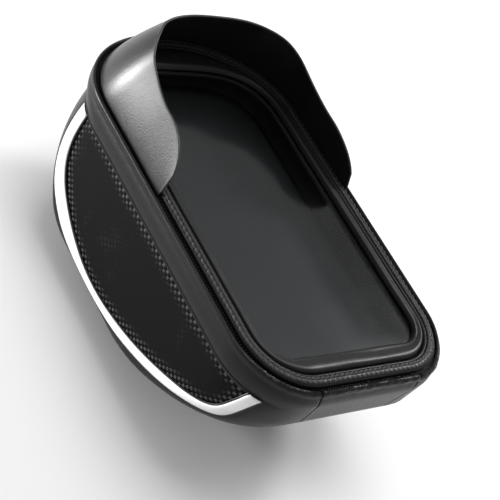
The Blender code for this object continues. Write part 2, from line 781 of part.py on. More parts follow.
def main():
    """Build every sub-part of the bag."""
    remove_everything()
    leather = material("smooth_leatherette", (0.03, 0.03, 0.032), 0.42)
    woven = material("twill_leatherette", (0.02, 0.02, 0.022), 0.5)
    reflective = material("reflective_silver", (0.85, 0.85, 0.85), 0.4)
    fabric = material("black_fabric", (0.015, 0.015, 0.016), 0.85)
    plastic = material("black_plastic", (0.02, 0.02, 0.02), 0.45)
    gloss = material("glossy_border", (0.02, 0.02, 0.02), 0.2)
    clear = material("clear_film", (0.8, 0.85, 0.9), 0.05, alpha=0.25)
    board = material("black_board", (0.02, 0.02, 0.02), 0.6)
    visor_sheet = material("visor_sheet", (0.05, 0.05, 0.052), 0.5)
    metal = material("black_zinc", (0.06, 0.06, 0.065), 0.35, metallic=0.8)
    rubber = material("black_rubber", (0.02, 0.02, 0.02), 0.7)
    webbing = material("black_webbing", (0.02, 0.02, 0.021), 0.9)

    make_hull(leather)
    make_lining(fabric)
    make_band(leather)
    make_side(-1, "left", woven, reflective)
    make_side(1, "right", woven, reflective)
    make_zip(fabric, plastic)
    make_hinge(fabric)
    for label, centre_y in zip("ab", SLIDER_Y):
        make_slider(label, centre_y, metal)
        make_pull(label, centre_y, plastic)
    make_binding(leather)
    board_base = make_window(gloss, clear, board)
    make_pocket(board_base, fabric, webbing)
    make_visor(visor_sheet)
    make_saddle(rubber)
    make_strap(-1, "left", webbing)
    make_strap(1, "right", webbing)

    set_pivot(LID_NODES, Vector((0.0, HINGE_Y, RIM_Z + HINGE_HEIGHT)) * MM)
    for label, centre_y in zip("ab", SLIDER_Y):
        set_pivot(["zip_slider_" + label], Vector((RIM_HALF_WIDTH, centre_y, RIM_Z)) * MM)
        set_pivot(["pull_tab_" + label], Vector((BAIL_X, centre_y, RIM_Z + BAIL_HEIGHT)) * MM)


main()
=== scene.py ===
"""Looks of a bicycle phone bag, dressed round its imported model.

Sizes are in millimetres and become metres where a mesh is made. X is across the bag, Y runs
lengthwise from the rider's end to the visor, and Z is up. Rim heights are measured from the rim
plane, with down negative. Rim offsets are measured outwards from the middle of the zip's groove.
"""
import logging
import math
from dataclasses import dataclass, field
from enum import Enum
from typing import Callable, Sequence

import bpy
from mathutils import Euler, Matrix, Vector, noise
from mathutils.bvhtree import BVHTree


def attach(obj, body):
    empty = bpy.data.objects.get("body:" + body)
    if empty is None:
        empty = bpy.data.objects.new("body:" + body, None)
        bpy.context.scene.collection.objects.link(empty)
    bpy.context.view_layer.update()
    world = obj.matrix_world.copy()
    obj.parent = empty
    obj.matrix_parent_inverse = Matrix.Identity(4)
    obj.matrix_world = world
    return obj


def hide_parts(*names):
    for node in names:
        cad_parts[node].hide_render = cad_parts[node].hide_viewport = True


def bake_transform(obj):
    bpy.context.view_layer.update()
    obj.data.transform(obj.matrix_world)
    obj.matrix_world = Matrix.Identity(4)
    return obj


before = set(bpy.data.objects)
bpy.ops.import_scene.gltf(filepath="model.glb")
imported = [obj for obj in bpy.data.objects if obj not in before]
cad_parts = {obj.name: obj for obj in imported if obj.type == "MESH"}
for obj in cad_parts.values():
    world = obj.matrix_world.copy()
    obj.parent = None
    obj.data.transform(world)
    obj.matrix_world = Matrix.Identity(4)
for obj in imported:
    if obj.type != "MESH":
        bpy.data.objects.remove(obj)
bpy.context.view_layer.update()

MM = 0.001
LOG = logging.getLogger("bag")

Colour = tuple[float, float, float]
Profile = Sequence[tuple[float, float]]


class Body(Enum):
    """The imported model's moving bodies."""

    SHELL = "shell"
    LID = "lid"
    SLIDER_A = "slider_a"
    SLIDER_B = "slider_b"
    PULL_A = "pull_a"
    PULL_B = "pull_b"


class Slot(Enum):
    """The record's material slots."""

    LEATHER = "leatherette"
    TWILL = "twill_leatherette"
    REFLECTIVE = "reflective_tape"
    FABRIC = "lining_fabric"
    ZIP = "zip_plastic"
    METAL = "slider_metal"
    RUBBER = "base_rubber"
    WEBBING = "webbing"
    GLOSS = "gloss_border"
    FILM = "clear_film"
    BOARD = "stiff_board"
    VISOR = "visor_sheet"


class Side(Enum):
    """The bag's two sides, as the sign of X."""

    LEFT = -1
    RIGHT = 1


class Value:
    """A shader value that Python's operators work on."""

    def __init__(self, graph: "Graph", socket: bpy.types.NodeSocket) -> None:
        """Wrap one output socket of a graph."""
        self.graph = graph
        self.socket = socket

    def math(self, operation: str, *others: "Value | float") -> "Value":
        """One Math node with this value first."""
        return self.graph.math(operation, self, *others)

    def __add__(self, other: "Value | float") -> "Value":
        """Sum."""
        return self.math("ADD", other)

    def __radd__(self, other: float) -> "Value":
        """Sum, with the number first."""
        return self.math("ADD", other)

    def __sub__(self, other: "Value | float") -> "Value":
        """Difference."""
        return self.math("SUBTRACT", other)

    def __rsub__(self, other: float) -> "Value":
        """Difference, with the number first."""
        return self.graph.math("SUBTRACT", other, self)

    def __mul__(self, other: "Value | float") -> "Value":
        """Product."""
        return self.math("MULTIPLY", other)

    def __rmul__(self, other: float) -> "Value":
        """Product, with the number first."""
        return self.math("MULTIPLY", other)

    def __truediv__(self, other: "Value | float") -> "Value":
        """Quotient."""
        return self.math("DIVIDE", other)

    def __pow__(self, other: "Value | float") -> "Value":
        """Power."""
        return self.math("POWER", other)

    def __abs__(self) -> "Value":
        """Absolute value."""
        return self.math("ABSOLUTE")

    def __lt__(self, other: "Value | float") -> "Value":
        """1 where this is less, else 0."""
        return self.math("LESS_THAN", other)

    def __mod__(self, other: float) -> "Value":
        """Remainder that stays positive below zero."""
        return self.math("FLOORED_MODULO", other)

    def floor(self) -> "Value":
        """Whole part, downwards."""
        return self.math("FLOOR")

    def sine(self) -> "Value":
        """Sine of an angle in radians."""
        return self.math("SINE")

    def least(self, other: "Value | float") -> "Value":
        """The smaller of two."""
        return self.math("MINIMUM", other)

    def step(self, low: float, high: float) -> "Value":
        """A smooth rise from 0 at low to 1 at high.

        Args:
            low: where the rise starts.
            high: where the rise ends.

        Returns:
            The rise, held at 0 and 1 outside it.
        """
        made = self.graph.node(
            "ShaderNodeMapRange",
            {"interpolation_type": "SMOOTHSTEP"},
            {"Value": self, "From Min": low, "From Max": high},
        )
        return Value(self.graph, made.outputs["Result"])


class Graph:
    """The node tree of one material round a Principled shader."""

    def __init__(self, name: str) -> None:
        """Start a material with a plain Principled shader.

        Args:
            name: the material's name.
        """
        self.material = bpy.data.materials.new(name)
        self.material.use_nodes = True
        self.tree = self.material.node_tree
        self.shader = self.tree.nodes["Principled BSDF"]

    def node(
        self,
        kind: str,
        settings: dict[str, object] | None = None,
        inputs: dict[str | int, object] | None = None,
    ) -> bpy.types.Node:
        """Add one node.

        Args:
            kind: Blender's name of the node type.
            settings: the node's own settings, set before its sockets.
            inputs: a value, a Value or a socket for each input.

        Returns:
            The new node.
        """
        made = self.tree.nodes.new(kind)
        for key, setting in (settings or {}).items():
            setattr(made, key, setting)
        for key, source in (inputs or {}).items():
            self.feed(made.inputs[key], source)
        return made

    def feed(self, socket: bpy.types.NodeSocket, source: object) -> None:
        """Give an input socket a link or a plain value.

        Args:
            socket: the input.
            source: a Value, an output socket, or a number, colour or vector.
        """
        if isinstance(source, Value):
            self.tree.links.new(source.socket, socket)
        elif isinstance(source, bpy.types.NodeSocket):
            self.tree.links.new(source, socket)
        else:
            socket.default_value = source

    def math(self, operation: str, *terms: "Value | float") -> Value:
        """One Math node.

        Args:
            operation: Blender's name of the operation.
            terms: its one to three terms.

        Returns:
            Its result.
        """
        made = self.node("ShaderNodeMath", {"operation": operation}, dict(enumerate(terms)))
        return Value(self, made.outputs[0])

    def place(self) -> bpy.types.NodeSocket:
        """The point on the piece at rest, in metres."""
        return self.node("ShaderNodeTexCoord").outputs["Object"]

    def lay(self) -> bpy.types.NodeSocket:
        """The point on the flat sheet that the piece was cut from, in metres."""
        return self.node("ShaderNodeAttribute", {"attribute_name": "lay"}).outputs["Vector"]

    def parts(self, vector: bpy.types.NodeSocket) -> tuple[Value, Value, Value]:
        """A vector's three parts."""
        made = self.node("ShaderNodeSeparateXYZ", None, {0: vector})
        return tuple(Value(self, output) for output in made.outputs)

    def stretch(self, vector: bpy.types.NodeSocket, factors: Colour) -> bpy.types.NodeSocket:
        """A vector multiplied part by part."""
        made = self.node("ShaderNodeVectorMath", {"operation": "MULTIPLY"}, {0: vector, 1: factors})
        return made.outputs["Vector"]

    def noise(self, size: float, detail: float = 2.0, vector: bpy.types.NodeSocket | None = None) -> Value:
        """Soft noise from 0 to 1.

        Args:
            size: the size of its features in millimetres.
            detail: the number of finer layers.
            vector: where it is read, or the point at rest.

        Returns:
            The noise.
        """
        made = self.node(
            "ShaderNodeTexNoise",
            None,
            {"Vector": vector or self.place(), "Scale": 1.0 / (size * MM), "Detail": detail},
        )
        return Value(self, made.outputs[0])

    def cells(self, size: float, vector: bpy.types.NodeSocket | None = None) -> Value:
        """Distance to the middle of pebble-like cells of a size in millimetres, from 0 to about 1.

        Args:
            size: the size of a cell in millimetres.
            vector: the place to look at, or None for the piece's own.

        Returns:
            The distance.
        """
        made = self.node(
            "ShaderNodeTexVoronoi",
            {"feature": "SMOOTH_F1"},
            {"Vector": vector or self.place(), "Scale": 1.0 / (size * MM), "Smoothness": 0.6},
        )
        return Value(self, made.outputs["Distance"])

    def blend(self, factor: Value, first: Colour, second: Colour) -> bpy.types.NodeSocket:
        """A colour between two, by a factor.

        Args:
            factor: 0 for the first colour and 1 for the second.
            first: the first colour.
            second: the second colour.

        Returns:
            The blended colour.
        """
        made = self.node(
            "ShaderNodeMix",
            {"data_type": "RGBA"},
            {"Factor": factor, 6: (*first, 1.0), 7: (*second, 1.0)},
        )
        return made.outputs[2]

    def relief(self, height: Value, depth: float) -> None:
        """Feed the shader's normal from a height.

        Args:
            height: the surface height from 0 to 1.
            depth: what a height of 1 stands for, in millimetres.
        """
        made = self.node("ShaderNodeBump", None, {"Height": height, "Strength": 1.0, "Distance": depth * MM})
        self.feed(self.shader.inputs["Normal"], made.outputs["Normal"])

    def finish(self, **inputs: object) -> bpy.types.Material:
        """Feed the shader's other inputs, with spaces written as underscores, and give the material.

        Args:
            inputs: a value, a Value or a socket for each input.

        Returns:
            The finished material.
        """
        for key, source in inputs.items():
            self.feed(self.shader.inputs[key.replace("_", " ")], source)
        return self.material


def grey(level: float, warmth: float = 0.0) -> Colour:
    """A near-neutral colour of a level, a little warmer or cooler."""
    return (level * (1 + warmth), level, level * (1 - warmth))


@dataclass(frozen=True)
class SmoothLeather:
    """Satin leatherette with a fine pebble grain, soft creases and optional end seams, whose line is painted
    near-black as the shade in their groove.

    The seam's place and width, and where the rolled edge lies, are in metres, as the shader sees them.
    """

    name: str
    level: float = 0.009
    roughness: float = 0.35
    grain: float = 0.9
    end_seams: bool = False
    seam_foot: float = 0.0136
    seam_lean: float = 0.2
    seam_width: float = 0.0011
    seam_depth: float = 9.0
    roll_height: tuple[float, float] = (0.0735, 0.0748)
    roll_reach: tuple[float, float] = (-0.084, -0.07)

    def make(self) -> bpy.types.Material:
        """Build the material.

        Returns:
            The finished material.
        """
        graph = Graph(self.name)
        grain = graph.cells(self.grain)
        creases = graph.noise(14.0, 3.0)
        height = grain * 0.35 + creases * 1.6 + graph.noise(3.0, 2.0) * 0.35
        shade = graph.noise(30.0, 2.0)
        share = shade * 0.36 + 0.64
        gap = 0.0
        if self.end_seams:
            across, along, up = graph.parts(graph.place())
            seam = abs(abs(across) - (up * self.seam_lean + self.seam_foot))
            # The seam line gets near-black colour and full metal, so it reflects nothing: painted shade in
            # the seam's groove.
            gap = (1.0 - seam.step(0.0, self.seam_width)) * (along < -0.06)
            height = height - gap * self.seam_depth
            share = share * (1.0 - gap)
            rolled = up.step(*self.roll_height) * (1.0 - along.step(*self.roll_reach))
            gather = graph.noise(2.6, 1.0, graph.stretch(graph.place(), (1.0, 1.0, 0.3)))
            height = height + gather * rolled * 7.0
        graph.relief(height, 0.12)
        colour = graph.blend(share, grey(0.0003), grey(self.level * 1.25))
        rough = self.roughness - 0.06 + grain * 0.10 + shade * 0.05
        return graph.finish(Base_Color=colour, Roughness=rough, Metallic=gap, Specular_IOR_Level=0.2)


@dataclass(frozen=True)
class Twill:
    """Leatherette pressed with a twill of short bars, with a painted highlight on the bars near the border
    and in random patches, and painted shade between them.
    """

    name: str
    cell: tuple[float, float] = (1.75, 1.6)
    level: float = 0.004
    painted_shade: float = 0.002
    painted_highlight: float = 0.07
    reach: float = 5.5

    def make(self) -> bpy.types.Material:
        """Build the material.

        Returns:
            The finished material.
        """
        graph = Graph(self.name)
        along, up, edge = graph.parts(graph.lay())
        column = along / (self.cell[0] * MM)
        row = up / (self.cell[1] * MM)
        over = ((column.floor() + row.floor()) % 2.0) < 0.5
        cushion = (1.0 - abs((column % 1.0) - 0.5) * 2.0).least(1.0 - abs((row % 1.0) - 0.5) * 2.0)
        # The middles of the raised bars get a painted highlight, strongest near the border and in random
        # patches.
        lit = over * cushion.step(0.05, 0.4)
        wander = graph.noise(22.0, 2.0)
        near_edge = 1.0 - (edge / MM + (wander - 0.5) * 5.0).step(0.8, self.reach)
        patches = graph.noise(15.0, 2.0).step(0.58, 0.78) * 0.2
        shown = (near_edge + patches).least(1.0)
        # Unlit cells near the border get painted shade.
        ground = graph.blend(near_edge * (1.0 - lit), grey(self.level), grey(self.painted_shade))
        colour = graph.node(
            "ShaderNodeMix",
            {"data_type": "RGBA"},
            {"Factor": lit * shown, 6: ground, 7: (*grey(self.painted_highlight), 1.0)},
        ).outputs[2]
        pillow = cushion.step(0.0, 0.8) * (over * 0.6 + 0.4) * (near_edge * 0.85 + 0.15)
        graph.relief(pillow + graph.noise(0.5) * 0.08, 0.2)
        rough = 0.5 - lit * shown * 0.16 + graph.noise(9.0) * 0.08
        return graph.finish(Base_Color=colour, Roughness=rough, Specular_IOR_Level=0.06)


@dataclass(frozen=True)
class Reflective:
    """Silver-white reflective tape with a fine beaded face."""

    name: str

    def make(self) -> bpy.types.Material:
        """Build the material.

        Returns:
            The finished material.
        """
        graph = Graph(self.name)
        beads = graph.cells(0.45)
        soil = graph.noise(12.0, 3.0)
        colour = graph.blend(soil.step(0.35, 0.8), grey(0.86), grey(0.74, 0.01))
        graph.relief(beads, 0.04)
        return graph.finish(
            Base_Color=colour,
            Roughness=0.36 + beads * 0.12,
            Coat_Weight=0.25,
            Coat_Roughness=0.2,
        )


@dataclass(frozen=True)
class Gloss:
    """Glossy black vinyl with fine draws and long soft waves."""

    name: str
    level: float = 0.01
    roughness: float = 0.33

    def make(self) -> bpy.types.Material:
        """Build the material.

        Returns:
            The finished material.
        """
        graph = Graph(self.name)
        lines = graph.noise(2.6, 2.0, graph.stretch(graph.place(), (0.22, 1.0, 1.0)))
        waves = graph.noise(13.0, 2.0)
        haze = graph.noise(5.0, 3.0)
        graph.relief(waves * 1.4 + lines * 0.16, 0.3)
        colour = graph.blend(haze, grey(self.level * 0.8), grey(self.level * 1.3))
        return graph.finish(
            Base_Color=colour,
            Roughness=self.roughness + haze * 0.12,
            Specular_IOR_Level=0.25,
            Coat_Weight=0.05,
            Coat_Roughness=0.2,
        )


@dataclass(frozen=True)
class Film:
    """Clear window film that reflects, with faint tension lines and a little haze."""

    name: str

    def make(self) -> bpy.types.Material:
        """Build the material.

        Returns:
            The finished material.
        """
        graph = Graph(self.name)
        lines = graph.noise(7.0, 1.0, graph.stretch(graph.place(), (1.0, 0.18, 1.0)))
        haze = graph.noise(25.0, 3.0)
        graph.relief(lines * 0.4 + graph.noise(40.0) * 2.0, 0.2)
        graph.finish(Base_Color=(*grey(0.85), 1.0), Roughness=0.1 + haze * 0.08, Metallic=1.0)
        facing = graph.node("ShaderNodeLayerWeight", None, {"Blend": 0.5})
        share = Value(graph, facing.outputs["Facing"]) ** 4.0 * 0.5 + haze * 0.01 + 0.02
        clear = graph.node("ShaderNodeBsdfTransparent", None, {"Color": (0.93, 0.95, 0.96, 1.0)})
        mix = graph.node(
            "ShaderNodeMixShader",
            None,
            {0: share, 1: clear.outputs[0], 2: graph.shader.outputs[0]},
        )
        graph.feed(graph.tree.nodes["Material Output"].inputs["Surface"], mix.outputs[0])
        return graph.material


@dataclass(frozen=True)
class Weave:
    """Woven cloth or webbing, read from the flat sheet's own directions or from the point at rest."""

    name: str
    thread: float = 0.55
    level: float = 0.016
    fuzz: float = 0.3
    flat: bool = False
    ribs: float = 0.0
    depth: float = 0.14

    def make(self) -> bpy.types.Material:
        """Build the material.

        Returns:
            The finished material.
        """
        graph = Graph(self.name)
        first, second, third = graph.parts(graph.lay() if self.flat else graph.place())
        turn = math.pi / (self.thread * MM)
        if not self.flat:
            second = second + third * 0.6
        warp = abs((first * turn).sine())
        weft = abs((second * turn).sine())
        over = (((first / (self.thread * MM)).floor() + (second / (self.thread * MM)).floor()) % 2.0) < 0.5
        height = warp * over + weft * (1.0 - over)
        if self.ribs:
            height = height * 0.5 + abs((second * (math.pi / (self.ribs * MM))).sine())
        fuzz = graph.noise(0.35, 3.0)
        # Colour follows the weave's height, darker where threads dip: painted shade between the threads, with
        # random fuzz tone on top.
        colour = graph.blend(height * 0.6 + fuzz * 0.4, grey(self.level * 0.5), grey(self.level * 1.7))
        graph.relief(height + fuzz * self.fuzz, self.depth)
        graph.shader.inputs["Sheen Weight"].default_value = 0.04
        graph.shader.inputs["Sheen Roughness"].default_value = 0.5
        return graph.finish(Base_Color=colour, Roughness=0.78 + fuzz * 0.15, Specular_IOR_Level=0.16)


@dataclass(frozen=True)
class Grained:
    """Moulded plastic, rubber or vinyl sheet with a fine even grain."""

    name: str
    level: float
    roughness: float
    grain: float = 1.0
    depth: float = 0.08
    mottle: float = 0.25
    shine: float = 0.3

    def make(self) -> bpy.types.Material:
        """Build the material.

        Returns:
            The finished material.
        """
        graph = Graph(self.name)
        grain = graph.noise(self.grain, 3.0)
        patches = graph.noise(18.0, 3.0)
        spread = self.level * self.mottle
        colour = graph.blend(
            (grain * 0.7 + patches * 0.3).step(0.3, 0.7),
            grey(self.level - spread),
            grey(self.level + spread),
        )
        graph.relief(grain, self.depth)
        rough = self.roughness - 0.05 + grain * 0.1
        return graph.finish(Base_Color=colour, Roughness=rough, Specular_IOR_Level=self.shine)


@dataclass(frozen=True)
class BlackMetal:
    """Black zinc with brighter worn edges and fine scuffs."""

    name: str

    def make(self) -> bpy.types.Material:
        """Build the material.

        Returns:
            The finished material.
        """
        graph = Graph(self.name)
        sharp = graph.node("ShaderNodeNewGeometry").outputs["Pointiness"]
        worn = Value(graph, sharp).step(0.505, 0.56) * graph.noise(1.2, 3.0).step(0.35, 0.65)
        scuffs = graph.noise(0.8, 4.0, graph.stretch(graph.place(), (1.0, 0.2, 1.0)))
        graph.relief(scuffs, 0.02)
        colour = graph.blend(worn, grey(0.03), grey(0.42))
        return graph.finish(Base_Color=colour, Roughness=0.3 + scuffs * 0.15, Metallic=0.35 + worn * 0.6)


@dataclass(frozen=True)
class Thread:
    """Twisted sewing thread."""

    name: str
    level: float = 0.22

    def make(self) -> bpy.types.Material:
        """Build the material.

        Returns:
            The finished material.
        """
        graph = Graph(self.name)
        across, along, up = graph.parts(graph.place())
        twist = abs(((across + along + up) * (math.pi / (0.45 * MM))).sine())
        # Colour follows the twist, darker in its grooves: painted shade.
        colour = graph.blend(twist, grey(self.level * 0.45), grey(self.level))
        graph.relief(twist, 0.1)
        return graph.finish(Base_Color=colour, Roughness=0.32 + twist * 0.1)


class Finishes:
    """Every finish of the bag, each made once."""

    def __init__(self) -> None:
        """Make the materials."""
        self.shell_leather = SmoothLeather("shell_leatherette", end_seams=True).make()
        self.binding_leather = SmoothLeather("binding_leatherette", roughness=0.3, grain=0.7).make()
        self.twill = Twill("pressed_twill").make()
        self.reflective = Reflective("reflective_face").make()
        self.gloss = Gloss("glossy_vinyl").make()
        self.film = Film("window_film").make()
        self.lining = Weave("lining_weave", thread=0.7, level=0.014, fuzz=0.15, depth=0.05).make()
        self.pocket = Grained("pocket_cloth", 0.007, 0.6, grain=3.0, depth=0.03, mottle=0.2, shine=0.2).make()
        self.tape = Weave("tape_weave", thread=0.5, level=0.02, flat=True, ribs=1.1).make()
        self.webbing = Weave("strap_webbing", thread=0.8, level=0.02, flat=True, ribs=1.6).make()
        self.visor_outside = Grained("visor_outside", 0.018, 0.32, grain=0.6, depth=0.05, mottle=0.7).make()
        self.visor_inside = Grained("visor_inside", 0.008, 0.5, grain=1.4).make()
        self.visor_edge = Grained("visor_edge", 0.035, 0.4, grain=1.0).make()
        self.piping = Grained("black_piping", 0.008, 0.4).make()
        self.coil = Grained("zip_coil", 0.006, 0.42, grain=0.8, depth=0.03).make()
        self.board = Grained("stiff_board", 0.02, 0.6).make()
        self.rubber = Grained("base_rubber", 0.02, 0.7, grain=0.8, depth=0.12).make()
        self.metal = BlackMetal("black_zinc").make()
        self.thread = Thread("grey_thread").make()
        self.binding_thread = Thread("binding_thread", level=0.045).make()


@dataclass
class Shape:
    """A mesh in the making: points in millimetres, faces, and a finish number for each face."""

    points: list[Vector] = field(default_factory=list)
    faces: list[tuple[int, ...]] = field(default_factory=list)
    finish_of: list[int] = field(default_factory=list)
    lay: list[tuple[float, float, float]] = field(default_factory=list)

    def grid(
        self,
        rows: Sequence[Sequence[Vector]],
        wrap_rows: bool = False,
        wrap_columns: bool = False,
        finish: int = 0,
        lay: Sequence[Sequence[tuple[float, float, float]]] | None = None,
        flip: bool = False,
    ) -> "Shape":
        """Add a grid of quads.

        Args:
            rows: rows of like length.
            wrap_rows: join the last row to the first.
            wrap_columns: join the last column to the first.
            finish: the faces' finish number.
            lay: each point's place on the flat sheet, in millimetres.
            flip: turn the faces over.

        Returns:
            This shape.
        """
        start = len(self.points)
        width = len(rows[0])
        for row in rows:
            self.points.extend(Vector(point) for point in row)
        flat = lay or [[(0.0, 0.0, 0.0)] * width] * len(rows)
        for row in flat:
            self.lay.extend(row)
        for r in range(len(rows) if wrap_rows else len(rows) - 1):
            for c in range(width if wrap_columns else width - 1):
                low = start + r * width
                high = start + ((r + 1) % len(rows)) * width
                after = (c + 1) % width
                face = (low + c, low + after, high + after, high + c)
                self.faces.append(face[::-1] if flip else face)
                self.finish_of.append(finish)
        return self

    def cap(self, count: int, first: int, finish: int = 0, flip: bool = False) -> "Shape":
        """Close a loop of points, from a first one, with one face.

        Args:
            count: the number of points in the loop.
            first: the index of its first point.
            finish: the index of the face's material.
            flip: whether the face looks the other way.

        Returns:
            The same shape, so that calls can follow each other.
        """
        loop = tuple(range(first, first + count))
        self.faces.append(loop[::-1] if flip else loop)
        self.finish_of.append(finish)
        return self

    def tube(
        self,
        path: Sequence[Vector],
        radius: float,
        up: Vector = Vector((0, 0, 1)),
        sides: int = 8,
        closed: bool = False,
        finish: int = 0,
    ) -> "Shape":
        """Add a round tube.

        Args:
            path: its centre line.
            radius: its radius.
            up: a direction that the path never runs along.
            sides: the number of its sides.
            closed: join its ends.
            finish: the faces' finish number.

        Returns:
            This shape.
        """
        rows = []
        for index, point in enumerate(path):
            before = path[index - 1] if index or closed else point
            after = path[(index + 1) % len(path)] if index + 1 < len(path) or closed else point
            along = (Vector(after) - Vector(before)).normalized()
            side = along.cross(up).normalized()
            top = side.cross(along)
            ring = []
            for angle in circle(sides):
                out = side * (radius * math.cos(angle))
                ring.append(Vector(point) + out + top * (radius * math.sin(angle)))
            rows.append(ring)
        start = len(self.points)
        self.grid(rows, wrap_rows=closed, wrap_columns=True, finish=finish)
        if not closed:
            self.cap(sides, start, finish, flip=True)
            self.cap(sides, start + sides * (len(rows) - 1), finish)
        return self

    def bead(self, centre: Vector, along: Vector, up: Vector, size: Vector, finish: int = 0) -> "Shape":
        """Add a rounded bead, such as one stitch.

        Args:
            centre: its middle.
            along: its long direction, of length 1.
            up: the surface's normal, of length 1.
            size: its length, width and height.
            finish: the faces' finish number.

        Returns:
            This shape.
        """
        across = along.cross(up)
        sides = 6
        rows = []
        for place, swell in ((-1.0, 0.3), (-0.72, 0.85), (0.0, 1.0), (0.72, 0.85), (1.0, 0.3)):
            middle = centre + along * (place * size.x / 2)
            ring = []
            for angle in circle(sides):
                ring.append(
                    middle
                    + across * (math.cos(angle) * size.y / 2 * swell)
                    + up * (math.sin(angle) * size.z / 2 * swell)
                )
            rows.append(ring)
        start = len(self.points)
        self.grid(rows, wrap_columns=True, finish=finish)
        self.cap(sides, start, finish, flip=True)
        return self.cap(sides, start + sides * (len(rows) - 1), finish)

    def make(
        self, name: str, finishes: Sequence[bpy.types.Material], sharp: float = 40.0
    ) -> bpy.types.Object:
        """Turn the shape into an object in metres.

        Args:
            name: the piece's name.
            finishes: the materials by finish number.
            sharp: edges that turn more than this many degrees stay sharp.

        Returns:
            The object, linked to the scene.
        """
        mesh = bpy.data.meshes.new(name)
        mesh.from_pydata([point * MM for point in self.points], [], self.faces)
        for finish in finishes:
            mesh.materials.append(finish)
        mesh.polygons.foreach_set("material_index", self.finish_of)
        layer = mesh.attributes.new("lay", "FLOAT_VECTOR", "POINT")
        layer.data.foreach_set("vector", [part * MM for place in self.lay for part in place])
        mesh.shade_smooth()
        mesh.set_sharp_from_angle(angle=math.radians(sharp))
        made = bpy.data.objects.new(name, mesh)
        bpy.context.scene.collection.objects.link(made)
        return made


def dress(piece: bpy.types.Object, body: Body, slot: Slot, *nodes: str) -> bpy.types.Object:
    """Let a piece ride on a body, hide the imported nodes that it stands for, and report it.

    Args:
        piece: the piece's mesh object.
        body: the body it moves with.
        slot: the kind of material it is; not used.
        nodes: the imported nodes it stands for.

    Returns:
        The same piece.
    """
    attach(piece, body.value)
    if nodes:
        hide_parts(*nodes)
    LOG.info("%s: %d faces on %s", piece.name, len(piece.data.polygons), body.value)
    return piece


def thicken(piece: bpy.types.Object, thickness: float, offset: float = -1.0) -> bpy.types.Object:
    """Give a sheet its thickness in millimetres.

    Args:
        piece: the piece's mesh object.
        thickness: the sheet's thickness in millimetres.
        offset: -1 to grow inwards, 0 to both sides, 1 to grow outwards.

    Returns:
        The same piece.
    """
    modifier = piece.modifiers.new("thickness", "SOLIDIFY")
    modifier.thickness = thickness * MM
    modifier.offset = offset
    return piece


def soften(piece: bpy.types.Object, levels: int = 1) -> bpy.types.Object:
    """Round a piece with a subdivision surface.

    Args:
        piece: the piece's mesh object.
        levels: the number of subdivisions.

    Returns:
        The same piece.
    """
    modifier = piece.modifiers.new("soften", "SUBSURF")
    modifier.levels = levels
    modifier.render_levels = levels
    return piece


def smooth_step(low: float, high: float, value: float) -> float:
    """A smooth rise from 0 at low to 1 at high."""
    share = min(1.0, max(0.0, (value - low) / (high - low)))
    return share * share * (3.0 - 2.0 * share)


def squared(value: float, power: float) -> float:
    """A sine or cosine raised to a power that keeps its sign, which squares a circle off."""
    return math.copysign(abs(value) ** power, value)


def circle(sides: int) -> list[float]:
    """The angles of a closed ring's points, in radians."""
    return [math.tau * step / sides for step in range(sides)]


def fall(share: float, exponents: tuple[float, float]) -> float:
    """How much of its reach a superellipse keeps at a share of its depth."""
    return max(0.0, 1.0 - share ** exponents[0]) ** (1.0 / exponents[1])


@dataclass(frozen=True)
class Plan:
    """A closed outline seen from above: an arched far end and two round corners at the rider's end."""

    half_width: float
    near_y: float
    far_y: float
    near_radius: float
    arch: float
    power: float = 1.0
    arch_steps: int = 48
    side_steps: int = 24
    corner_steps: int = 14
    end_steps: int = 26

    def points(self, offset: float = 0.0) -> list[Vector]:
        """The outline from the right side, anticlockwise, moved outwards by an offset.

        Args:
            offset: how far the outline moves outwards, in millimetres.

        Returns:
            The points in order.
        """
        side_y = self.far_y - self.arch
        inner_x = self.half_width - self.near_radius
        inner_y = self.near_y + self.near_radius
        half = self.half_width
        path = [self._arch_point(step) for step in range(self.arch_steps + 1)]
        path += self._line(Vector((-half, side_y)), Vector((-half, inner_y)), self.side_steps)
        path += self._corner(Vector((-inner_x, inner_y)), 180.0)
        path += self._line(Vector((-inner_x, self.near_y)), Vector((inner_x, self.near_y)), self.end_steps)
        path += self._corner(Vector((inner_x, inner_y)), 270.0)
        path += self._line(Vector((half, inner_y)), Vector((half, side_y)), self.side_steps)
        return [point + normal * offset for point, normal in zip(path, normals_of(path))]

    def _arch_point(self, step: int) -> Vector:
        """One point of the arched end.

        Args:
            step: the point's number along the arch.

        Returns:
            The point in plan.
        """
        angle = math.pi * step / self.arch_steps
        across = squared(math.cos(angle), self.power)
        along = abs(math.sin(angle)) ** self.power
        return Vector((self.half_width * across, self.far_y - self.arch + self.arch * along))

    def _corner(self, centre: Vector, start: float) -> list[Vector]:
        """One round corner from a start angle in degrees.

        Args:
            centre: the middle of the corner's circle.
            start: the angle it starts at.

        Returns:
            The corner's points in order.
        """
        points = []
        for step in range(self.corner_steps + 1):
            angle = math.radians(start + 90.0 * step / self.corner_steps)
            points.append(centre + Vector((math.cos(angle), math.sin(angle))) * self.near_radius)
        return points

    @staticmethod
    def _line(start: Vector, end: Vector, steps: int) -> list[Vector]:
        """The inner points of a straight side."""
        return [start.lerp(end, step / steps) for step in range(1, steps)]


def normals_of(path: Sequence[Vector], closed: bool = True) -> list[Vector]:
    """Outward normals of an anticlockwise path.

    Args:
        path: the points of the path.
        closed: whether the last point joins the first.

    Returns:
        One unit normal for each point.
    """
    normals = []
    last = len(path) - 1
    for index, point in enumerate(path):
        after = path[(index + 1) % len(path)] if closed else path[min(index + 1, last)]
        before = path[index - 1] if closed else path[max(index - 1, 0)]
        along = (after - point).normalized() + (point - before).normalized()
        along.normalize()
        normals.append(Vector((along.y, -along.x)))
    return normals


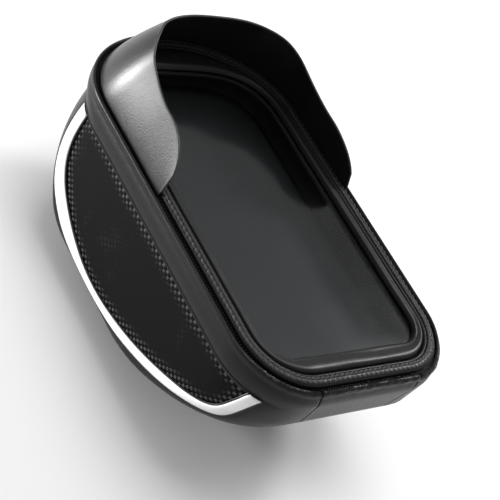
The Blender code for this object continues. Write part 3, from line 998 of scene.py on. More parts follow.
@dataclass(frozen=True)
class Rim:
    """The groove between shell and lid, which every ring of the bag follows."""

    half_width: float = 53.8
    half_length: float = 94.0
    far_arch: float = 42.0
    near_radius: float = 28.0
    z: float = 75.5
    far_draft: float = 4.5
    draft_start: float = 3.6
    draft_end: float = 11.5
    riders_end: tuple[float, float] = (-66.0, -86.0)

    def far_lean(self, height: float) -> float:
        """How far the far end leans in at a rim height."""
        return self.far_draft * max(0.0, -self.draft_start - height) / (self.draft_end - self.draft_start)

    def at_riders_end(self, y: float) -> float:
        """How far a Y lies in the rider's end, from 0 to 1."""
        return smooth_step(*self.riders_end, y)

    def plan(self, height: float = 0.0) -> Plan:
        """The rim's outline at a rim height."""
        far = self.half_length - self.far_lean(height)
        return Plan(self.half_width, -self.half_length, far, self.near_radius, self.far_arch)

    def ring(self, offset: float, height: float) -> list[Vector]:
        """Space points of the outline moved outwards, at a rim height."""
        return self.lift(self.plan(height).points(offset), height)

    def lift(self, points: Sequence[Vector], height: float) -> list[Vector]:
        """Plan points as space points at a rim height."""
        return [Vector((point.x, point.y, self.z + height)) for point in points]

    def rings(self, profile: Profile) -> list[list[Vector]]:
        """Rings for a profile of (offset, height) points."""
        return [self.ring(offset, height) for offset, height in profile]

    def stations(self, spacing: float, keep: Callable[[Vector], bool]) -> list[tuple[Vector, Vector]]:
        """Evenly spaced points with their normals on the part of the rim that is kept.

        Args:
            spacing: the distance between points.
            keep: whether a point of the rim belongs to the part.

        Returns:
            (point, outward normal) pairs, in order.
        """
        path = self.plan().points()
        kept = [keep(point) for point in path]
        start = next((i for i in range(len(path)) if kept[i] and not kept[i - 1]), 0)
        run = [path[(start + i) % len(path)] for i in range(len(path)) if kept[(start + i) % len(path)]]
        closed = all(kept)
        if closed:
            run.append(run[0])
        even = even_path(run, spacing)
        if closed:
            even = even[:-1]
        return list(zip(even, normals_of(even, closed)))


def even_path(path: Sequence[Vector], spacing: float) -> list[Vector]:
    """A path's points at an even spacing, both ends kept.

    Args:
        path: the points of the path.
        spacing: the wanted distance between points, in millimetres.

    Returns:
        The new points.
    """
    lengths = [(after - before).length for before, after in zip(path, path[1:])]
    count = max(2, round(sum(lengths) / spacing))
    wanted = sum(lengths) / count
    even = [path[0].copy()]
    done = 0.0
    index = 0
    for step in range(1, count):
        target = step * wanted
        while done + lengths[index] < target:
            done += lengths[index]
            index += 1
        even.append(path[index].lerp(path[index + 1], (target - done) / lengths[index]))
    even.append(path[-1].copy())
    return even


@dataclass(frozen=True)
class Tub:
    """The moulded tub's surface below the band."""

    rim: Rim
    offset: float = 3.2
    depth: float = 67.0
    band: float = 11.5
    fit: float = 0.3
    deepest_y: float = 8.0
    edge_radius: float = 12.0
    near_bottom_radius: float = 13.0
    far_bottom_arch: float = 16.0
    near_exponents: tuple[float, float] = (2.0, 1.75)
    far_exponents: tuple[float, float] = (2.1, 2.2)
    flatness: float = 0.985

    def section(self, share: float, inset: float = 0.0, lift: float = 0.0) -> list[Vector]:
        """The outline at a share of the depth below the band, moved in and up.

        Args:
            share: the share of the depth below the band.
            inset: how far it moves in.
            lift: how far it moves up.

        Returns:
            The points of the section.
        """
        top = self.band + self.fit
        depth = top + (self.depth - top) * share
        reach_share = share * self.flatness
        reach = self.rim.half_length + self.offset
        near_y = self.deepest_y - (reach + self.deepest_y) * fall(reach_share, self.near_exponents)
        far_reach = reach - self.rim.far_lean(-top) - self.deepest_y
        far_y = self.deepest_y + far_reach * fall(reach_share, self.far_exponents)
        near_rim = self.rim.near_radius + self.offset
        far_rim = self.rim.far_arch + self.offset
        edge = max(0.0, self.edge_radius - (self.depth - depth))
        half_width = self.rim.half_width + self.offset - self.edge_radius
        half_width += math.sqrt(max(0.0, self.edge_radius ** 2 - edge ** 2))
        plan = Plan(
            half_width,
            near_y,
            far_y,
            near_rim + (self.near_bottom_radius - near_rim) * share,
            far_rim + (self.far_bottom_arch - far_rim) * share,
        )
        return self.rim.lift(plan.points(-inset), lift - depth)

    def shares(self, steps: int) -> list[float]:
        """Shares of the depth, closer together towards the bottom edge."""
        return [math.sin(math.pi / 2 * step / steps) for step in range(steps + 1)]

    def surface(self) -> BVHTree:
        """A search tree of the tub's outside."""
        shape = Shape().grid([self.section(share) for share in self.shares(30)], wrap_columns=True)
        return BVHTree.FromPolygons(shape.points, shape.faces)


@dataclass
class SidePanelForm:
    """The D shaped field on each side of the tub, in (Y, rim height)."""

    centre_y: float = 7.6
    depth: float = 60.7
    near_reach: float = 101.5
    far_reach: float = 56.5
    near_exponents: tuple[float, float] = (2.0, 1.75)
    far_exponents: tuple[float, float] = (3.6, 1.95)
    near_trim: float = 2.6
    near_corner: tuple[float, float, float, float] = (4.8, 0.53, 0.1, 0.14)
    strip_widths: tuple[float, float] = (4.3, 8.0)
    top: float = -12.1
    steps: int = 60
    rounding: int = 14

    def reach(self, share: float, ahead: bool) -> float:
        """How far the field reaches along Y from its centre, at a share of its depth.

        Args:
            share: the share of the field's depth.
            ahead: whether it is the far half.

        Returns:
            The reach in millimetres.
        """
        if ahead:
            return self.far_reach * fall(share, self.far_exponents)
        most, middle, above, below = self.near_corner
        spread = above if share < middle else below
        corner = most * math.exp(-(((share - middle) / spread) ** 2))
        trim = self.near_trim * (1.0 - smooth_step(0.2, 0.4, share))
        return self.near_reach * fall(share, self.near_exponents) + corner - trim

    def width(self, y: float) -> float:
        """The reflective strip's width at a Y, wider at the far end."""
        near, far = self.strip_widths
        return near + (far - near) * smooth_step(-10.0, 45.0, y)

    def outer(self) -> list[Vector]:
        """The strip's outer edge from its far top, round the bottom, to its near top."""
        return self._clip(self._path())

    def inner(self, lap: float = 0.0) -> list[Vector]:
        """The strip's inner edge, moved back out by a lap.

        Args:
            lap: how far the edge moves back out.

        Returns:
            The (Y, rim height) points of the edge.
        """
        path = self._path()
        normals = normals_of(path, closed=False)
        moved = [point + normal * (self.width(point.x) - lap) for point, normal in zip(path, normals)]
        return self._clip(moved)

    def _path(self) -> list[Vector]:
        """The whole outer edge, up to the rim's height.

        Returns:
            The (Y, rim height) points of the edge.
        """
        shares = [math.sin(math.pi / 2 * step / self.steps) for step in range(self.steps + 1)]
        path = [Vector((self.centre_y + self.reach(share, True), -self.depth * share)) for share in shares]
        for share in reversed(shares[:-1]):
            path.append(Vector((self.centre_y - self.reach(share, False), -self.depth * share)))
        path = even_path(path, 1.5)
        for _ in range(self.rounding):
            threes = zip(path, path[1:], path[2:])
            inner = [(before + point * 2 + after) / 4 for before, point, after in threes]
            path = [path[0], *inner, path[-1]]
        return path

    def _clip(self, path: Sequence[Vector]) -> list[Vector]:
        """Cut the outline off at its top.

        Args:
            path: the points of the path.

        Returns:
            The points below the top.
        """
        kept = []
        for before, after in zip(path, path[1:]):
            if (before.y > self.top) != (after.y > self.top):
                kept.append(before.lerp(after, (self.top - before.y) / (after.y - before.y)))
            if after.y < self.top:
                kept.append(after)
        return kept

    def span(self, outline: Sequence[Vector], height: float) -> tuple[float, float]:
        """The near and far Y of an outline at a rim height.

        Args:
            outline: the points of the outline.
            height: the rim height to look at.

        Returns:
            The near and the far Y.
        """
        found = []
        for before, after in zip(outline, outline[1:]):
            low, high = sorted((before.y, after.y))
            if low <= height <= high and high > low:
                found.append(before.lerp(after, (height - before.y) / (after.y - before.y)).x)
        return min(found), max(found)

    @staticmethod
    def distance(outline: Sequence[Vector], point: Vector) -> float:
        """Distance from a point to an outline."""
        return min((point - corner).length for corner in outline)


@dataclass
class ShellSkin:
    """The leather outside of band and tub in one skin, with a recess for each side panel."""

    rim: Rim
    tub: Tub
    form: SidePanelForm
    recess: float = 1.0
    rows: int = 42
    roll_lean: float = 0.8
    gather: Vector = field(default_factory=lambda: Vector((0.0, -0.3, 0.35)))
    gather_pitch: float = 0.33
    band_profile: Profile = (
        (1.3, -4.2),
        (1.2, -2.4),
        (1.25, -1.3),
        (1.6, -0.5),
        (2.25, -0.05),
        (2.85, -0.25),
        (3.2, -0.9),
        (3.2, -1.7),
        (2.95, -2.4),
        (2.9, -2.9),
        (3.15, -3.8),
        (3.5, -5.2),
        (3.65, -6.8),
        (3.55, -8.6),
        (3.25, -10.3),
        (2.9, -11.5),
    )

    def build(self, finishes: Finishes) -> None:
        """Make and dress the skin.

        Args:
            finishes: the materials of the bag.
        """
        rows = [self._puckered(self._leaning(offset, height), height) for offset, height in self.band_profile]
        rows += [self._recessed(self.tub.section(share)) for share in self.tub.shares(self.rows)]
        self._even_out_end(rows)
        shape = Shape().grid(rows, wrap_columns=True, flip=True)
        count = len(rows[0])
        shape.cap(count, len(shape.points) - count, flip=True)
        piece = shape.make("shell_leather", [finishes.shell_leather], sharp=50.0)
        dress(piece, Body.SHELL, Slot.LEATHER, "hull", "upper_band")

    def _leaning(self, offset: float, height: float) -> list[Vector]:
        """A ring of the band, whose rolled edge leans over the groove at the rider's end.

        Args:
            offset: the ring's distance outside the rim.
            height: the ring's rim height.

        Returns:
            The ring's points.
        """
        lean = self.roll_lean * smooth_step(-1.25, -0.5, height)
        plain = self.rim.ring(offset, height)
        leant = self.rim.ring(offset - lean, height)
        return [point.lerp(near, self.rim.at_riders_end(point.y)) for point, near in zip(plain, leant)]

    def _even_out_end(self, rows: list[list[Vector]]) -> None:
        """Run the band straight into the tub across the rider's end, where one panel covers both.

        Args:
            rows: the rings of the skin, which it changes.
        """
        first = len(self.band_profile) - 4
        last = first + 9
        for column, top in enumerate(rows[first]):
            share = smooth_step(50.0, 38.0, abs(top.x)) if top.y < -50.0 else 0.0
            bottom = rows[last][column]
            for row in rows[first + 1 : last]:
                point = row[column]
                even = top.lerp(bottom, (top.z - point.z) / (top.z - bottom.z))
                row[column] = point.lerp(Vector((even.x, even.y, point.z)), share)

    def _puckered(self, ring: Sequence[Vector], height: float) -> list[Vector]:
        """Gather the rolled edge of the band a little at the rider's end.

        Args:
            ring: the points of one ring.
            height: the ring's rim height.

        Returns:
            The gathered points.
        """
        if height < -3.0:
            return list(ring)
        moved = []
        for point in ring:
            pitch = self.gather_pitch
            amount = noise.noise(Vector((point.x * pitch, point.y * pitch, height)))
            moved.append(point + self.gather * (amount * smooth_step(-70.0, -92.0, point.y)))
        return moved

    def _recessed(self, ring: Sequence[Vector]) -> list[Vector]:
        """Move the points of one ring that lie in a side field inwards.

        Args:
            ring: the points of one ring.

        Returns:
            The ring with its recess.
        """
        centre = Vector((0.0, self.tub.deepest_y))
        edge = self.form.outer()
        height = ring[0].z - self.rim.z
        if not min(point.y for point in edge) < height < self.form.top:
            return list(ring)
        near, far = self.form.span(edge, height)
        moved = []
        for point in ring:
            if abs(point.x) < 20.0 or not near < point.y < far:
                moved.append(point)
                continue
            inwards = (centre - point.xy).normalized()
            moved.append(point + Vector((math.copysign(self.recess, -point.x), inwards.y * 0.2, 0.0)))
        return moved


@dataclass
class SidePanels:
    """The pressed twill panels, padded by simulation, with their reflective strips and piping."""

    rim: Rim
    tub: Tub
    form: SidePanelForm
    ray_start: float = 90.0
    strip_proud: float = 0.25
    strip_inset: float = 0.3
    strip_columns: int = 6
    panel_sink: float = 0.55
    piping_radius: float = 0.48
    rows: int = 56
    columns: int = 84
    pressure: float = 2.2
    frames: int = 14
    most_swell: float = 1.3

    def build(self, finishes: Finishes) -> None:
        """Make and dress both sides.

        Args:
            finishes: the materials of the bag.
        """
        surface = self.tub.surface()
        for side in Side:
            label = side.name.lower()
            self._panel(side, label, surface, finishes)
            self._strip(side, label, surface, finishes)
            self._piping(side, label, surface, finishes)

    def _on_surface(self, side: Side, flat: Vector, proud: float, surface: BVHTree) -> Vector:
        """The point over a (Y, rim height) place on one side, raised from the tub by a distance.

        Args:
            side: the side of the bag.
            flat: the (Y, rim height) place.
            proud: the distance above the tub.
            surface: the tub's surface to lie on.

        Returns:
            The point in space.
        """
        start = Vector((side.value * self.ray_start, flat.x, self.rim.z + flat.y))
        hit, normal, _, _ = surface.ray_cast(start, Vector((-side.value, 0, 0)))
        if hit is None:
            hit, normal, _, _ = surface.find_nearest(start.lerp(Vector((0, flat.x, start.z)), 0.5))
        if normal.x * side.value < 0:
            normal = -normal
        return hit + normal * proud

    def _panel(self, side: Side, label: str, surface: BVHTree, finishes: Finishes) -> None:
        """One twill panel.

        Args:
            side: the side of the bag.
            label: the piece's name ending.
            surface: the tub's surface to lie on.
            finishes: the materials of the bag.
        """
        lapped = self.form.inner(lap=0.4)
        inner = self.form.inner()
        bottom = min(point.y for point in lapped) + 0.25
        rows, lay = [], []
        for row in range(self.rows + 1):
            height = self.form.top + (bottom - self.form.top) * math.sin(math.pi / 2 * row / self.rows)
            near, far = self.form.span(lapped, height + (0.01 if row == self.rows else -0.001))
            line, flats = [], []
            for column in range(self.columns + 1):
                flat = Vector((near + (far - near) * column / self.columns, height))
                line.append(self._on_surface(side, flat, -self.panel_sink, surface))
                edge = min(self.form.distance(inner, flat), self.form.top - height + 0.5)
                flats.append((flat.x, flat.y, edge))
            rows.append(line)
            lay.append(flats)
        shape = Shape().grid(rows, lay=lay, flip=side is Side.RIGHT)
        piece = shape.make("twill_panel_" + label, [finishes.twill])
        self._swell(piece)
        soften(piece)
        dress(piece, Body.SHELL, Slot.TWILL, "side_panel_" + label)

    def _swell(self, piece: bpy.types.Object) -> None:
        """Pad a panel with a short cloth simulation whose border is held.

        Args:
            piece: the piece's mesh object.
        """
        width = self.columns + 1
        border = [
            index
            for index in range(len(piece.data.vertices))
            if index % width in (0, width - 1) or index // width in (0, self.rows)
        ]
        start = [vertex.co.copy() for vertex in piece.data.vertices]
        piece.vertex_groups.new(name="held").add(border, 1.0, "REPLACE")
        cloth = piece.modifiers.new("padding", "CLOTH")
        cloth.settings.quality = 4
        cloth.settings.mass = 0.25
        cloth.settings.tension_stiffness = 12.0
        cloth.settings.compression_stiffness = 12.0
        cloth.settings.bending_stiffness = 0.4
        cloth.settings.vertex_group_mass = "held"
        cloth.settings.use_pressure = True
        cloth.settings.uniform_pressure_force = self.pressure
        cloth.settings.effector_weights.gravity = 0.0
        cloth.collision_settings.use_self_collision = False
        scene = bpy.context.scene
        for number in range(1, self.frames + 1):
            scene.frame_set(number)
        shown = piece.evaluated_get(bpy.context.evaluated_depsgraph_get())
        moved = [vertex.co.copy() for vertex in shown.data.vertices]
        piece.modifiers.remove(cloth)
        scene.frame_set(1)
        largest = 0.0
        for vertex, before, after in zip(piece.data.vertices, start, moved):
            shift = after - before
            if shift.length > self.most_swell * MM:
                shift *= self.most_swell * MM / shift.length
            largest = max(largest, shift.length)
            vertex.co = before + shift
        LOG.info("%s swelled by up to %.2f mm", piece.name, largest / MM)

    def _strip(self, side: Side, label: str, surface: BVHTree, finishes: Finishes) -> None:
        """One reflective strip.

        Args:
            side: the side of the bag.
            label: the piece's name ending.
            surface: the tub's surface to lie on.
            finishes: the materials of the bag.
        """
        rows = []
        across = self.strip_columns
        path = even_path(self.form.outer(), 1.8)
        normals = normals_of(path, closed=False)
        for point, normal in zip(path, normals):
            line = []
            for step in range(across + 1):
                covered = self.form.width(point.x) - 2 * self.strip_inset
                inset = self.strip_inset + covered * step / across
                crown = self.strip_proud * (1.0 - (2.0 * step / across - 1.0) ** 4)
                flat = point + normal * inset
                flat.y = min(flat.y, self.form.top)
                line.append(self._on_surface(side, flat, crown - 0.05, surface))
            rows.append(line)
        shape = Shape().grid(rows, flip=side is Side.RIGHT)
        piece = thicken(shape.make("reflective_band_" + label, [finishes.reflective]), 0.5)
        dress(piece, Body.SHELL, Slot.REFLECTIVE, "reflective_strip_" + label)

    def _piping(self, side: Side, label: str, surface: BVHTree, finishes: Finishes) -> None:
        """The thin black piping along both edges of one strip.

        Args:
            side: the side of the bag.
            label: the piece's name ending.
            surface: the tub's surface to lie on.
            finishes: the materials of the bag.
        """
        shape = Shape()
        for edge in (self.form.outer(), self.form.inner()):
            points = [self._on_surface(side, point, 0.0, surface) for point in even_path(edge, 2.0)]
            shape.tube(points, self.piping_radius, up=Vector((side.value, 0, 0)))
        dress(shape.make("strip_piping_" + label, [finishes.piping]), Body.SHELL, Slot.LEATHER)


@dataclass
class Binding:
    """The lid's stitched edge binding with its smooth inner roll."""

    rim: Rim
    profile: Profile = (
        (-6.2, -2.3),
        (-6.3, -1.2),
        (-6.25, -0.4),
        (-6.0, 0.2),
        (-5.6, 0.5),
        (-5.15, 0.5),
        (-4.8, 0.2),
        (-4.6, 0.15),
        (-4.3, 0.55),
        (-3.6, 0.92),
        (-2.9, 0.98),
        (-2.1, 0.85),
        (-1.5, 0.4),
        (-1.2, -0.3),
        (-1.2, -2.3),
    )
    stitch_rows: Profile = ((-3.95, 0.72), (-2.3, 0.7))
    stitch_pitch: float = 2.7
    near_shift: float = 0.7
    stitch: Vector = field(default_factory=lambda: Vector((2.9, 1.25, 1.1)))

    def build(self, finishes: Finishes) -> None:
        """Make and dress the binding and its stitches.

        Args:
            finishes: the materials of the bag.
        """
        shape = Shape().grid(self._rows(), wrap_rows=True, wrap_columns=True, flip=True)
        piece = shape.make("edge_binding", [finishes.binding_leather], sharp=60.0)
        dress(piece, Body.LID, Slot.LEATHER, "lid_binding")
        sewn = Shape()
        for number, (offset, height) in enumerate(self.stitch_rows):
            stations = self.rim.stations(self.stitch_pitch, lambda point: True)
            for index, (point, normal) in enumerate(stations):
                along = Vector((-normal.y, normal.x, 0.0))
                slant = along + Vector((*normal, 0.0)) * (0.3 if number else -0.3)
                centre = Vector((*(point + normal * offset), self.rim.z + height))
                wobble = noise.noise(Vector((index * 0.7, number * 5.0, 0.0)))
                centre += Vector((*normal, 0.0)) * (wobble * 0.12)
                sewn.bead(centre, slant.normalized(), Vector((0, 0, 1)), self.stitch)
        dress(sewn.make("binding_stitches", [finishes.binding_thread]), Body.LID, Slot.LEATHER)

    def _rows(self) -> list[list[Vector]]:
        """The binding's rings, a little uneven on top and moved out at the rider's end.

        Returns:
            The rings in order.
        """
        rows = []
        for offset, height in self.profile:
            ring = self.rim.ring(offset, height)
            if height > 0.1:
                ring = [point + Vector((0, 0, 0.1 * noise.noise(point * 0.25))) for point in ring]
            if offset > -1.8 and height > -1.0:
                near = self.rim.ring(offset + self.near_shift, height)
                ring = [a.lerp(b, self.rim.at_riders_end(a.y)) for a, b in zip(ring, near)]
            rows.append(ring)
        return rows


@dataclass
class LidOpening:
    """A rounded outline inside the rim, by its margins from it."""

    rim: Rim
    side_margin: float = 10.0
    near_margin: float = 15.0
    far_margin: float = 18.0
    near_radius: float = 12.0
    far_arch: float = 34.0
    squareness: float = 0.6

    def plan(self) -> Plan:
        """The outline inside the rim.

        Returns:
            Its plan.
        """
        return Plan(
            self.rim.half_width - self.side_margin,
            self.near_margin - self.rim.half_length,
            self.rim.half_length - self.far_margin,
            self.near_radius,
            self.far_arch,
            self.squareness,
        )


@dataclass
class Window(LidOpening):
    """The glossy wavy border and the clear film under it."""

    overlap: float = 2.6
    outer_offset: float = -7.0
    columns: int = 14
    film_height: float = -2.35
    film_rings: int = 13

    def build(self, finishes: Finishes) -> None:
        """Make and dress the border and the film.

        Args:
            finishes: the materials of the bag.
        """
        border = Shape().grid(self._border_rows(), wrap_columns=True, flip=True)
        piece = thicken(border.make("wavy_border", [finishes.gloss], sharp=60.0), 0.5)
        soften(piece)
        dress(piece, Body.LID, Slot.GLOSS, "window_border")
        film = Shape().grid(self._film_rows(), wrap_columns=True)
        count = len(self.plan().points())
        film.cap(count, len(film.points) - count)
        piece = thicken(film.make("window_film", [finishes.film]), 0.45)
        dress(piece, Body.LID, Slot.FILM, "clear_window")

    def _border_rows(self) -> list[list[Vector]]:
        """Rows from the binding to the window's edge, with long waves that run along the border.

        Returns:
            The rows in order.
        """
        outer = self.rim.plan().points(self.outer_offset)
        inner = self.plan().points()
        rows = []
        for column in range(self.columns + 1):
            share = column / self.columns
            row = []
            for first, second in zip(outer, inner):
                flat = first.lerp(second, share)
                row.append(Vector((flat.x, flat.y, self.rim.z + self._border_height(share, flat))))
            rows.append(row)
        return rows

    def _border_height(self, share: float, flat: Vector) -> float:
        """The border's height at a share of its width.

        Args:
            share: the share of the border's width.
            flat: the place in plan.

        Returns:
            The height in millimetres.
        """
        lip = -1.4 * (1.0 - smooth_step(0.0, 0.1, share)) - 2.0 * smooth_step(0.86, 1.0, share)
        loose = 0.3 + 0.7 * smooth_step(-40.0, -86.0, flat.y)
        wander = noise.noise(Vector((flat.x * 0.025, flat.y * 0.025, 3.0)))
        ridge = math.sin((share * 0.95 + wander * 0.35) * math.tau)
        swell = noise.noise(Vector((flat.x * 0.05, flat.y * 0.05, 9.0)))
        return 0.1 + lip + loose * (0.4 * ridge + 0.45 * swell)

    def _film_rows(self) -> list[list[Vector]]:
        """Rings of the film from its edge to its middle, with a soft slack in it.

        Returns:
            The rings in order.
        """
        outline = self.plan().points(self.overlap)
        centre = Vector((0.0, (self.rim.half_length - self.far_margin) / 2 - 20.0))
        rows = []
        for keep in (1.0, 0.99, *(1.0 - ring / self.film_rings for ring in range(1, self.film_rings))):
            row = []
            for point in outline:
                flat = centre + (point - centre) * keep
                slack = noise.noise(Vector((flat.x * 0.03, flat.y * 0.02, 1.0))) * (1.0 - keep ** 6)
                row.append(Vector((flat.x, flat.y, self.rim.z + self.film_height - 0.06 * abs(slack))))
            rows.append(row)
        return rows


@dataclass
class Pocket(LidOpening):
    """The phone pocket under the window: a soft wall, a back and a closing tab."""

    side_margin: float = 9.3
    near_margin: float = 9.0
    far_margin: float = 14.0
    near_radius: float = 9.0
    top: float = -4.4
    depth: float = 10.4
    mouth: float = 81.0
    tab_width: float = 25.0
    wall_rows: int = 10
    back_rings: int = 15

    def build(self, finishes: Finishes) -> None:
        """Make and dress the pocket.

        Args:
            finishes: the materials of the bag.
        """
        self._wall(finishes)
        self._back(finishes)
        self._tab(finishes)

    def _wall(self, finishes: Finishes) -> None:
        """The pocket's wall, open at the rider's end.

        Args:
            finishes: the materials of the bag.
        """
        plan = self.plan().points()
        closed = [not (abs(p.x) < self.mouth / 2 and p.y < -60.0) for p in plan]
        start = next(i for i in range(len(plan)) if closed[i] and not closed[i - 1])
        order = [(start + i) % len(plan) for i in range(len(plan))]
        run = [plan[i] for i in order if closed[i]]
        normals = normals_of(run, closed=False)
        rows = []
        for step in range(self.wall_rows + 1):
            up = step / self.wall_rows
            bulge = 0.55 * math.sin(math.pi * up) - 0.7
            row = []
            for index, (point, normal) in enumerate(zip(run, normals)):
                crease = 0.25 * noise.noise(Vector((index * 0.23, up * 1.5, 0.0)))
                flat = point + normal * (bulge + crease)
                row.append(Vector((flat.x, flat.y, self.rim.z + self.top - self.depth * (1 - up))))
            rows.append(row)
        piece = Shape().grid(rows, flip=True).make("pocket_cloth", [finishes.pocket])
        thicken(piece, 1.0, 0.0)
        dress(piece, Body.LID, Slot.FABRIC, "pocket_wall")

    def _back(self, finishes: Finishes) -> None:
        """The pocket's back, a stretched sheet with a slight sag.

        Args:
            finishes: the materials of the bag.
        """
        outline = self.plan().points()
        centre = Vector((0.0, -2.0))
        rows = []
        for ring in range(self.back_rings):
            keep = 1.0 - ring / self.back_rings
            row = []
            for point in outline:
                flat = centre + (point - centre) * keep
                sag = 0.5 * noise.noise(Vector((flat.x * 0.04, flat.y * 0.025, 7.0))) * (1.0 - keep ** 4)
                height = self.top - self.depth - 0.35 - 0.3 * abs(sag)
                row.append(Vector((flat.x, flat.y, self.rim.z + height)))
            rows.append(row)
        shape = Shape().grid(rows, wrap_columns=True)
        shape.cap(len(outline), len(shape.points) - len(outline))
        piece = shape.make("pocket_back_cloth", [finishes.pocket])
        width = 2 * (self.rim.half_width - self.side_margin) * MM
        thicken(piece, 0.8, -1.0)
        dress(piece, Body.LID, Slot.FABRIC, "pocket_back")

    def _tab(self, finishes: Finishes) -> None:
        """The webbing tab that closes the mouth, sewn to the back.

        Args:
            finishes: the materials of the bag.
        """
        near = self.near_margin - self.rim.half_length - 0.9
        low = self.top - self.depth - 1.0
        path = [(near + 14.0, low - 0.1), (near + 4.0, low - 0.15), (near + 0.8, low), (near, low + 1.2)]
        path += [(near, low + 4.0), (near - 0.05, low + 8.0), (near, self.top - 0.2)]
        half = self.tab_width / 2
        places = [half * (2 * step / 10 - 1) for step in range(11)]
        rows, lay = [], []
        done = 0.0
        for index, (along, height) in enumerate(path):
            if index:
                done += math.dist(path[index - 1], path[index])
            rows.append([Vector((x, along, self.rim.z + height)) for x in places])
            lay.append([(x, done, 0.0) for x in places])
        piece = Shape().grid(rows, lay=lay, flip=True).make("closing_tab", [finishes.webbing])
        thicken(piece, 0.9, 0.0)
        dress(piece, Body.LID, Slot.WEBBING, "pocket_tab")


@dataclass
class Visor:
    """The bent sun visor with its bound free edge."""

    rim: Rim
    thickness: float = 1.0
    heights: tuple[float, float, float] = (18.5, 28.5, 30.0)
    leans: tuple[float, float, float] = (7.0, 12.5, 18.0)
    side_share: float = 0.2
    corner_share: float = 0.62
    rise_length: float = 24.5
    rise_power: float = 0.38
    curl: float = 1.3
    foot: float = 2.0
    base: float = 0.9
    end_y: float = -2.0
    rows: int = 16
    spacing: float = 1.6
    edge_radius: float = 0.55

    def build(self, finishes: Finishes) -> None:
        """Make and dress the sheet and its edge.

        Args:
            finishes: the materials of the bag.
        """
        stations = self.rim.stations(self.spacing, lambda point: point.y > self.end_y)
        half = self.thickness / 2
        total = self.spacing_of(stations) * (len(stations) - 1)
        outer, inner, edge = [], [], []
        for index, (point, normal) in enumerate(stations):
            column = self.column(total * index / (len(stations) - 1), total)
            outer.append([self._at(point, normal, offset + half, level) for offset, level in column])
            inner.append([self._at(point, normal, offset - half, level) for offset, level in column])
            edge.append(self._at(point, normal, *column[-1]))
        shape = Shape()
        shape.grid(outer, finish=0, flip=True)
        shape.grid(inner, finish=1)
        for pair in ((outer[0], inner[0]), (inner[-1], outer[-1])):
            shape.grid(pair, finish=2)
        shape.grid([[a[0], b[0]] for a, b in zip(outer, inner)], finish=2)
        shape.tube(edge, self.edge_radius, up=Vector((0.05, 0.1, 1)), finish=2)
        faces = [finishes.visor_outside, finishes.visor_inside, finishes.visor_edge]
        piece = shape.make("visor_hood", faces, sharp=60.0)
        dress(piece, Body.LID, Slot.VISOR, "visor")

    @staticmethod
    def spacing_of(stations: Sequence[tuple[Vector, Vector]]) -> float:
        """The even spacing of the stations."""
        return (stations[1][0] - stations[0][0]).length

    def _at(self, point: Vector, normal: Vector, offset: float, level: float) -> Vector:
        """A space point at an offset and a rim height."""
        return Vector((*(point + normal * offset), self.rim.z + level))

    def _blend(self, values: tuple[float, float, float], share: float) -> float:
        """Blend a (side, corner, far) triple from a wing's end to the far middle.

        Args:
            values: the values at the side, the corner and the far middle.
            share: the share of the way to the far middle.

        Returns:
            The blended value.
        """
        side, corner, far = values
        to_corner = smooth_step(self.side_share, self.corner_share, share)
        to_far = smooth_step(self.corner_share, 1.0, share)
        return side + (corner - side) * to_corner + (far - corner) * to_far

    def column(self, run: float, total: float) -> list[tuple[float, float]]:
        """The sheet's centre line at a run along its base, as (offset, rim height) points.

        Args:
            run: the distance along the base.
            total: the base's whole length.

        Returns:
            The points from the base up.
        """
        from_end = min(run, total - run)
        share = 2.0 * from_end / total
        risen = min(1.0, from_end / self.rise_length) * math.pi / 2
        rise = math.sin(risen) ** self.rise_power if from_end > 0 else 0.0
        height = self.foot + self._blend(self.heights, share) * rise
        lean = self._blend(self.leans, share) * rise ** self.curl
        column = []
        for row in range(self.rows + 1):
            up = row / self.rows
            column.append((-self.thickness / 2 - lean * up ** self.curl, height * up - self.base))
        return column


